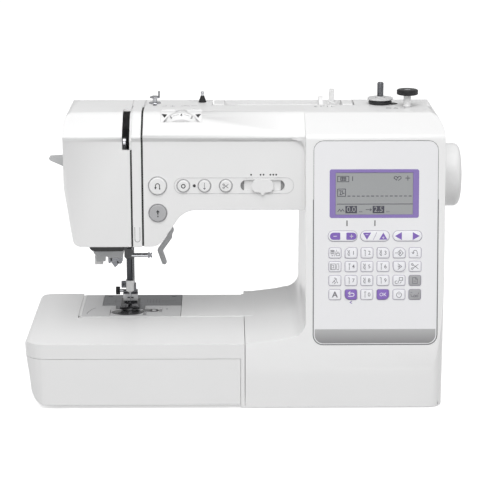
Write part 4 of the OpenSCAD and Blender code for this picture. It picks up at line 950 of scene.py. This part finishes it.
# ---- Tension wheel ----
# A white numbered wheel turns in a window of the slope above the arm; higher numbers pull the thread
# tighter. A white liner closes the window round it.

finish_node("tension_wheel", white_shell)
liner = prism("window_liner", [
    (-34, 253.5), (-34, 257.6), (-28.8, 262.8), (-21, 266.6), (-12, 267), (-12, 253.5)], "x", -80, -42)
wheel_space = turned("wheel_space", [(0, -20), (22.8, -20), (22.8, 20), (0, 20)], (-61, -23, 244.5),
                     "front", 96)
carve(liner, wheel_space)
fit(liner, white_shell, "frame")


def on_wheel(along, up, out=0.0):
    """A point on the wheel's sloping front: along it from the top, and up from its middle."""
    turn = along / 20
    reach = 20 + 0.707 * (up + out)
    return Vector((-61 + reach * math.sin(turn), -28.5 + 0.707 * (up - out),
                   244.5 + reach * math.cos(turn))) * MM


lettering("wheel_figures", [("5", -9.4, 1.2, 3.2), ("4", 0, 1.2, 3.2), ("3", 9.4, 1.2, 3.2)], on_wheel,
          black_ink, "tension", 0.02, 0.03)
printed("wheel_scale", [[(start + i, 1.8) for i in range(6)] for start in (-7.2, 2.2)],
        on_wheel, 0.4, mark_grey, "tension")


def on_liner(x, along, out=0.0):
    """A point on the upper slope of the liner, measured along it from its lower edge."""
    return Vector((x, -28.8 + 0.899 * along - 0.438 * out, 262.8 + 0.438 * along + 0.899 * out)) * MM


patches("tension_arrows", [
    [(-79.4, 6.6), (-74, 5.6), (-76.6, 0.6)], [(-42.6, 6.6), (-45.4, 0.6), (-48, 5.6)]], on_liner,
    black_ink, "frame")


# ---- Carrying handle and spool pin ----
# A white ABS handle folds flat into the top. The horizontal spool pin lies in the trough under it,
# with a round cap that holds the thread spool.

finish_node("carry_handle", white_shell, 0.6)
finish_node("spool_pin", white_shell, 0.4)
finish_node("spool_cap", white_shell)


def on_top(x, y, out=0.0):
    """A point on the flat top of the arm."""
    return Vector((x, y, 268 + out)) * MM


printed("top_marks_left", [
    [(-80, 6), (-76, 6), (-76, 9)], [(-72, 6), (-68, 6)], [(-70, 4.5), (-70, 8)],
    [(-62, 6), (-58, 9), (-54, 6)], [(-52, 8), (-47, 8)]], on_top, 0.45, mark_grey, "frame")
printed("top_marks_middle", [
    arc(66, 3, 2, 90, 270, 8), [(70, 1), (70, 5), (73, 5)], [(76, 1), (76, 5)],
    [(80, 5), (80, 1), (83, 1)]], on_top, 0.6, mark_grey, "frame")
printed("top_marks_right", [
    arc(133, -7, 2.2, 0, 345, 14), [(137.5, -8.6), (139.5, -4.6), (141.5, -8.6), (137.5, -8.6)],
    [(144, -6.6), (149, -6.6)], [(147.4, -5.2), (149, -6.6), (147.4, -8)]], on_top, 0.5, mark_grey,
    "frame")


# ---- Bobbin winder ----
# A knurled steel spindle with a pale seat for the bobbin stands in a slot in the top, whose shade is
# painted as a black patch; a black collar under the seat is partly a boss and partly painted shade of
# the clearance beneath it. It is pushed right against a black stopper, whose disc sits on a white post
# with a steel screw.

def metal(name, look, roughness, brushed=(1, 1, 1), marks=60, depth=0.3):
    """Bare metal: its shine varies and fine marks are drawn out along one way."""
    made, tree, shader = new_material(name)
    shader.inputs["Base Color"].default_value = to_linear(look)
    shader.inputs["Metallic"].default_value = 1
    stretch = tree.nodes.new("ShaderNodeMapping")
    stretch.inputs["Scale"].default_value = brushed
    place = tree.nodes.new("ShaderNodeTexCoord")
    tree.links.new(place.outputs["Object"], stretch.inputs["Vector"])
    lines = noise(tree, marks, 4, stretch.outputs["Vector"])
    vary(tree, lines, shader.inputs["Roughness"], max(0.05, roughness - 0.08), roughness + 0.1,
         (0.3, 0.7))
    relief(tree, lines, shader, depth, 0.00003, 0.0002)
    return made


steel_dark = metal("steel_dark", "77787C", 0.3, marks=900)
chrome = metal("chrome", "C9CACE", 0.14, marks=500, depth=0.12)
black_plastic = moulded("black_plastic", "1E1E20", 0.38)
pale_plastic = moulded("pale_plastic", "D6D6D7", 0.34)


def knurl(middle, radius, depth, teeth):
    """A round outline with fine teeth."""
    outline = []
    for i in range(teeth):
        for part, reach in ((0, radius), (0.45, radius), (0.55, radius - depth), (0.9, radius - depth)):
            turn = 2 * math.pi * (i + part) / teeth
            outline.append((middle[0] + reach * math.cos(turn), middle[1] + reach * math.sin(turn)))
    return outline


winder_middle = (127, 18, 0)
stopper_middle = (151.2, 3, 0)
winder_shaft = turned("winder_shaft", [
    (0, 250.2), (3, 250.2), (3, 274.6), (2.7, 275), (2.7, 277), (0, 277)], winder_middle)
winder_knurl = prism("winder_knurl", knurl(winder_middle, 3, 0.3, 24), "z", 275.4, 287.6)
winder_tip = turned("winder_tip", [(0, 286), (2.7, 286), (2.7, 287.9), (2.1, 288.5), (0, 288.5)],
                    winder_middle)
winder_seat = turned("winder_seat", [
    (3, 272.3), (12, 272.3), (12.2, 272.6), (12.2, 273.5), (11.9, 273.8), (4.6, 273.8), (4.6, 275.2),
    (3.02, 275.2), (3, 272.3)], winder_middle)
for piece, material, slot in (
        (winder_shaft, steel_dark, "steel"), (winder_knurl, steel_dark, "steel"),
        (winder_tip, steel_dark, "steel"), (winder_seat, pale_plastic, "light_grey_plastic")):
    fit(piece, material, "winder", "winder_spindle")
# Black patch painted over the slot as the shade inside it.
patches("winder_slot_shade", [arc(122, 18, 5.6, 90, 270, 12) + arc(138, 18, 5.6, -90, 90, 12)], on_top,
        recess_shade_black, "frame")
# The black collar is partly a real boss and partly painted shade of the clearance under the seat.
winder_shade_collar = turned("winder_shade_collar", [
    (4.2, 268.05), (10.4, 268.05), (11, 268.6), (11, 270.4), (10.4, 271.2), (4.2, 271.2),
    (4.2, 268.05)], winder_middle)
fit(winder_shade_collar, black_plastic, "winder_slide")
stopper_post = turned("stopper_post", [
    (0, 258.5), (2, 258.5), (2, 268.1), (4.4, 268.1), (3.5, 269.2), (3.5, 279.1), (0, 279.1)],
    stopper_middle)
stopper_disc = prism("stopper_disc", knurl(stopper_middle, 10, 0.35, 60), "z", 279.6, 283.4)
stopper_lips = turned("stopper_lips", [
    (0, 279.05), (8.6, 279.05), (9.6, 279.4), (9.62, 283.6), (9, 284), (3.6, 284), (3.4, 283.2),
    (0, 283.2)], stopper_middle)
stopper_screw = turned("stopper_screw", [(0, 283.1), (3.2, 283.1), (3.2, 283.7), (2.6, 284), (0, 284)],
                       stopper_middle)
for piece, material, slot in (
        (stopper_post, white_shell, "shell_white"), (stopper_disc, black_plastic, "black_plastic"),
        (stopper_lips, black_plastic, "black_plastic"), (stopper_screw, chrome, "chrome_plate")):
    fit(piece, material, "frame", "winder_stopper")


# ---- Thread guides ----
# The guide on the top tensions the thread for the winder: two steel discs on a post with a wire
# hook. Behind it stands a small black cone with a steel pin. Under the head sits a black plate with
# the bracket and rod that guide the thread to the needle.

guide_post = turned("guide_post", [
    (0, 263), (6, 263), (6, 264), (2, 264), (2, 268.6), (5.6, 268.7), (6, 269.2), (5.4, 269.9),
    (2.2, 270.1), (2.2, 273.9), (5, 274.2), (4.8, 275.2), (2.6, 276), (0, 276.2)], (-87, 17, 0))
guide_hook = turned("guide_hook", [
    (0, 275), (0.8, 275), (0.8, 279.6), (1.05, 279.8), (0.9, 280.3), (0, 280.3)], (-83, 17, 0),
    steps=20)
guide_cone = turned("guide_cone", [
    (0, 268), (3.7, 268), (3.7, 268.6), (1.9, 273.4), (1.9, 274), (0, 274)], (-42, 29, 0))
guide_pin = turned("guide_pin", [
    (0, 273.6), (1.3, 273.6), (1.3, 276), (1.7, 276.3), (1.7, 277.6), (1.2, 278), (0, 278)],
    (-42, 29, 0), steps=28)
bracket_grey = moulded("bracket_grey", "4C4D50", 0.35)
head_plate = prism("head_plate", [
    (-151, 140), (-151, 130.6), (-149, 128.4), (-146, 127.5), (-119, 127.5), (-118, 128.4),
    (-118, 140)], "y", 2, 12.5)
bracket = prism("bracket", [
    (-118.4, 138), (-118.4, 119), (-116.8, 117), (-110.2, 117), (-109.4, 118), (-109.4, 124),
    (-111.3, 127.4), (-115.2, 127.4), (-116.2, 138)], "y", 14, 18)
guide_rod = turned("guide_rod", [(0, -111.4), (2.1, -111.4), (2.1, -95.6), (1.5, -94.9), (0, -94.9)],
                   (0, 16, 120.2), "x", 24)
guide_fork = prism("guide_fork", [
    (-95.4, 122.6), (-94.6, 123.2), (-93.2, 121.6), (-91.6, 123.1), (-91.4, 121.4), (-92.8, 120.2),
    (-91.4, 119), (-91.6, 117.3), (-93.2, 118.8), (-94.6, 117.2), (-95.4, 117.8)], "y", 14.8, 17.2)
for piece, material, slot in (
        (guide_post, chrome, "chrome_plate"), (guide_hook, steel_dark, "steel"),
        (guide_cone, black_plastic, "black_plastic"), (guide_pin, chrome, "chrome_plate"),
        (head_plate, black_plastic, "black_plastic"), (bracket, bracket_grey, "black_plastic"),
        (guide_rod, chrome, "chrome_plate"), (guide_fork, steel_dark, "steel")):
    fit(piece, material, "frame", "thread_guides")
edged(head_plate, 0.4)
edged(bracket, 0.4)


# ---- Needle threader and buttonhole lever ----
# A grey ABS carrier slides down beside the needle bar and holds a steel hook. Its finger lever comes
# out of the left end of the head. The white buttonhole lever is pulled down behind it.

threader_grey = moulded("threader_grey", "C2C3C5", 0.36)
lever_grey = moulded("lever_grey", "C2C3C4", 0.34)
threader_rod = turned("threader_rod", [(0, 130), (2.5, 130), (2.5, 196), (0, 196)], (-129, 20, 0),
                      steps=32)
threader_carrier = prism("threader_carrier", [
    (-148.6, 130), (-148.4, 123.5), (-147, 121), (-143.5, 119.9), (-136.9, 119.4), (-134.5, 118.6),
    (-132, 117.6), (-121, 117.3), (-119.6, 120), (-118.7, 125), (-118.6, 130)], "y", 14, 26)
threader_toe = prism("threader_toe", [
    (-145.8, 121), (-145.7, 114.4), (-145.1, 113.8), (-137.3, 113.8), (-136.7, 114.4), (-136.6, 121)],
    "y", 16, 24)
threader_hook = prism("threader_hook", [
    (-134.5, 119), (-134.3, 112), (-133, 111.2), (-131.5, 112.4), (-130, 110.2), (-128.6, 107.9),
    (-127.4, 107.5), (-125.6, 109), (-124.4, 111), (-122.6, 110.6), (-121, 112), (-120.2, 114),
    (-120, 118)], "y", 18.5, 21.5)
for piece, material, slot in (
        (threader_rod, chrome, "chrome_plate"), (threader_carrier, threader_grey, "mid_grey_plastic"),
        (threader_toe, lever_grey, "mid_grey_plastic"), (threader_hook, steel_dark, "steel")):
    fit(piece, material, "threader", "needle_threader")
edged(threader_carrier, 1, 3)
edged(threader_toe, 0.6)
edged(threader_hook, 0.3)


def on_hook(x, z, out=0.0):
    """A point on the front of the threader's hook."""
    return Vector((x, 18.46 - out, z)) * MM


# Black patches painted where the hook has holes, as the shade seen through them.
patches("hook_hole_shade", [[(-132.2, 117.4), (-130.6, 117.4), (-130.7, 113.8), (-132, 113.6)],
                       [(-126.4, 113.4), (-125, 113.6), (-123.8, 111.8), (-124.8, 110.8)]],
        on_hook, recess_shade_black, "threader")
finish_node("threader_lever", lever_grey, 1, 3)
finish_node("buttonhole_lever", white_shell, 0.6)


# ---- Needle bar, presser foot and their bars ----
# The dark polished needle bar carries a white clamp with its knurled screw and the needle. The
# steel presser bar behind it carries the holder and the smoky foot; the pale ABS lever lifts them.

lever_pale = moulded("lever_pale", "CDCED0", 0.36)
bar_steel = metal("bar_steel", "6F7073", 0.22, brushed=(1, 1, 0.1), marks=600, depth=0.15)
satin_steel = metal("satin_steel", "E4E4E6", 0.38, marks=700, depth=0.2)
smoky = moulded("smoky", "3A3A3D", 0.2, grain=0.1)
clamp_white = moulded("clamp_white", "F6F6F6", 0.25, grain=0.1)
bar_black = metal("bar_black", "3C3D40", 0.16, brushed=(1, 1, 0.1), marks=600, depth=0.15)
for name, material, width in (
        ("needle_bar", bar_black, 0), ("presser_bar", bar_steel, 0), ("needle", chrome, 0),
        ("foot_holder", steel_dark, 0.5), ("connecting_rod", steel_dark, 0),
        ("take_up_lever", chrome, 0.3), ("needle_clamp", clamp_white, 0),
        ("presser_lever", lever_pale, 1), ("presser_foot", smoky, 0.35)):
    finish_node(name, material, width)
holder_plate = prism("holder_plate", [
    (36.7, 68.3), (38.3, 68.3), (38.3, 74), (39.1, 74.6), (39.1, 76.2), (38, 76.2), (36.7, 75.1)], "x",
    -121.5, -107.1)
carve(holder_plate, prism("holder_slot", [
    (-117.3, 70.6), (-111.3, 70.6), (-111.3, 72.2), (-117.3, 72.2)], "y", 36, 39))
fit(holder_plate, satin_steel, "presser")
clamp_screw = prism("clamp_screw_head", knurl((32, 86.5), 3.5, 0.4, 20), "x", -122.7, -118.3)
clamp_stem = turned("clamp_screw_stem", [
    (0, -118.7), (2.4, -118.7), (2.4, -118.2), (1.15, -118.2), (1.15, -115.6), (0, -115.6)],
    (0, 32, 86.5), "x", 24)
foot_knurl = prism("foot_screw_head", knurl((43, 77), 4, 0.45, 22), "x", -128.9, -124.9)
foot_stem = turned("foot_screw_stem", [
    (0, -125.4), (3.2, -125.4), (3.2, -124.7), (1.45, -124.7), (1.45, -114.3), (0, -114.3)],
    (0, 43, 77), "x", 24)
for piece, cad_name, body, material, slot in (
        (clamp_screw, "clamp_screw", "needle_drive", steel_dark, "steel"),
        (clamp_stem, "clamp_screw", "needle_drive", chrome, "steel"),
        (foot_knurl, "foot_screw", "presser", black_plastic, "black_plastic"),
        (foot_stem, "foot_screw", "presser", chrome, "steel")):
    fit(piece, material, body, cad_name)
for piece in (clamp_screw, foot_knurl):
    edged(piece, 0.2, 1)
foot_pin = turned("foot_pin", [(0, -120.6), (1.35, -120.6), (1.35, -108), (0, -108)], (0, 42, 69.5),
                  "x", 24)
fit(foot_pin, chrome, "foot")


# ---- Needle plate and bobbin cover ----
# The brushed steel needle plate lies behind a pale plastic cover. In front of the needle a dark
# clear window with a sliding latch shows the bobbin. Feed dogs stand in the plate's slots.

brushed_steel = metal("brushed_steel", "8E8F92", 0.34, brushed=(1, 40, 40), marks=40)
finish_node("needle_plate", brushed_steel, 0.15, 1)
plate_plastic = moulded("plate_plastic", "D9D9DA", 0.36)
finish_node("plate_cover", plate_plastic, 0.2)


def on_plate(x, y, out=0.0):
    """A point on the top of the bed."""
    return Vector((x, y, 63 + out)) * MM


printed("seam_guides", [[(x, 48), (x, 60)] for x in (-98.3, -95.3, -92.3, -89.3, -86.3)]
        + [[(-130, 48), (-130, 60)], [(-84, 54), (-70, 54)]],
        on_plate, 0.4, dark_gap_shade_and_ink, "frame", lift=0.04)
# The screw slots are black lines of painted shade.
printed("screw_slot_shade", [[(x - 1.9, 70), (x + 1.9, 70)] for x in (-136, -72.3)], on_plate, 0.7,
        recess_shade_black, "frame", base=-0.12, lift=0.08)
printed("cover_marks", [[(-155.4, 8.7), (-155, 14), (-152.5, 22.4), (-150.6, 26.4), (-148.1, 29.3)]],
        on_plate, 0.5, dark_gap_shade_and_ink, "frame", areas=[circle(-78.1, 25, 0.9, 12)])


def window_outline(across, back):
    """An oval of these half widths, with an arm towards the latch: the window, or the hole round it."""
    turns = [math.radians(a) for a in range(34, 341, 6)]
    left = [(-116.4 + across * math.cos(a), 15.1 + back * math.sin(a)) for a in turns]
    return left + [(-100, 20.9 - 4.6)] + arc(-90.3, 20.9, 4.6, -90, 90, 12) + [(-101, 20.9 + 4.6)]


lid_frame = plates("lid_frame", [
    [(-132.8, 4.6), (-100.6, 4.6), (-100.6, 16), (-85.6, 16), (-85.6, 25.9), (-132.8, 25.9)]],
    on_plate, -2.4, -0.1)
carve(lid_frame, prism("window_hole", window_outline(15.7, 10.2), "z", 50, 70))
lid_window = plates("lid_window", [window_outline(15.5, 10)], on_plate, -2.3, -0.12, 0.3)
shelf = plates("lid_shelf", [
    [(-101, 4.4), (-97.9, 4.4), (-97.9, 15.6), (-101, 15.6)],
    [(-86, 15.8), (-82.9, 15.8), (-82.9, 26), (-86, 26)]], on_plate, -3, -2.5)
fit(shelf, plate_plastic, "frame")
lid_latch = rings("lid_latch", [(circle(-90.6, 21, 4), circle(-90.6, 21, 2.6))],
                  on_plate, -0.13, 0.05)
latch_grip = plates("latch_grip", [circle(-90.6, 21, 2.3)], on_plate, -0.13, 0.1)
smoky_clear, tree, shader = new_material("smoky_clear")
shader.inputs["Transmission Weight"].default_value = 0.7
shader.inputs["IOR"].default_value = 1.49
scratches = noise(tree, 300)
tint(tree, scratches, shader.inputs["Base Color"], (0.2, 0.2, 0.21, 1), (0.27, 0.27, 0.28, 1))
vary(tree, scratches, shader.inputs["Roughness"], 0.08, 0.2)
for piece, material, slot in (
        (lid_frame, plate_plastic, "light_grey_plastic"), (lid_window, smoky_clear, "clear_smoke"),
        (lid_latch, black_plastic, "black_plastic"), (latch_grip, plate_plastic, "light_grey_plastic")):
    fit(piece, material, "bobbin_lid", "bobbin_cover")
feed_steel = metal("feed_steel", "A4A5A8", 0.3, brushed=(1, 8, 1), marks=200)
for name, material in (
        ("feed_dog", feed_steel), ("feed_base", steel_dark), ("bobbin_case", black_plastic),
        ("bobbin", pale_plastic), ("hook", chrome)):
    finish_node(name, material)


# ---- Handwheel and right side ----
# The white handwheel turns the main shaft by hand. Low on the same side sit the black inlet for the
# mains lead and the foot control, and the black rocker of the power switch.

finish_node("handwheel", white_shell)
finish_node("sockets", black_plastic, 0.3)
finish_node("power_switch", black_plastic, 0.5)


def on_side(y, z, out=0.0):
    """A point on the flat right end of the base."""
    return Vector((181 + out, y, z)) * MM


printed("switch_marks", [[(36, 49.4), (36, 47.2)]], on_side, 0.5, panel_white, "switch",
        base=1.25, lift=0.04)
off_mark = rings("switch_off_mark", [(circle(36, 45.2, 1.5), circle(36, 45.2, 1))], on_side, 1.15, 1.29)
fit(off_mark, panel_white, "switch")
printed("socket_marks", [
    [(44, 37.2), (49, 37.2)], [(46.5, 38.2), (46.5, 36.2)], arc(54, 37.2, 1.4, 0, 345, 12)], on_side,
    0.4, mark_grey, "frame")


# ---- Works inside ----
# A cast aluminium chassis carries the steel shafts in their bearings, the motor low in the column,
# its pulleys and the two rubber belts.

cast_metal = metal("cast_metal", "8B8C8E", 0.5, marks=700, depth=0.8)
winding_case = metal("winding_case", "5A5B5E", 0.4, brushed=(20, 1, 1), marks=60)
belt_rubber = moulded("belt_rubber", "262627", 0.7, grain=0.8)
carriage_grey = moulded("carriage_grey", "8F9092", 0.45)
for name, material in (("chassis", cast_metal), ("main_shaft", steel_dark), ("lower_shaft", steel_dark),
                       ("motor", winding_case), ("motor_pulley", black_plastic), ("belts", belt_rubber),
                       ("winder_carriage", carriage_grey)):
    finish_node(name, material)
edged(node["winder_carriage"], 0.5)
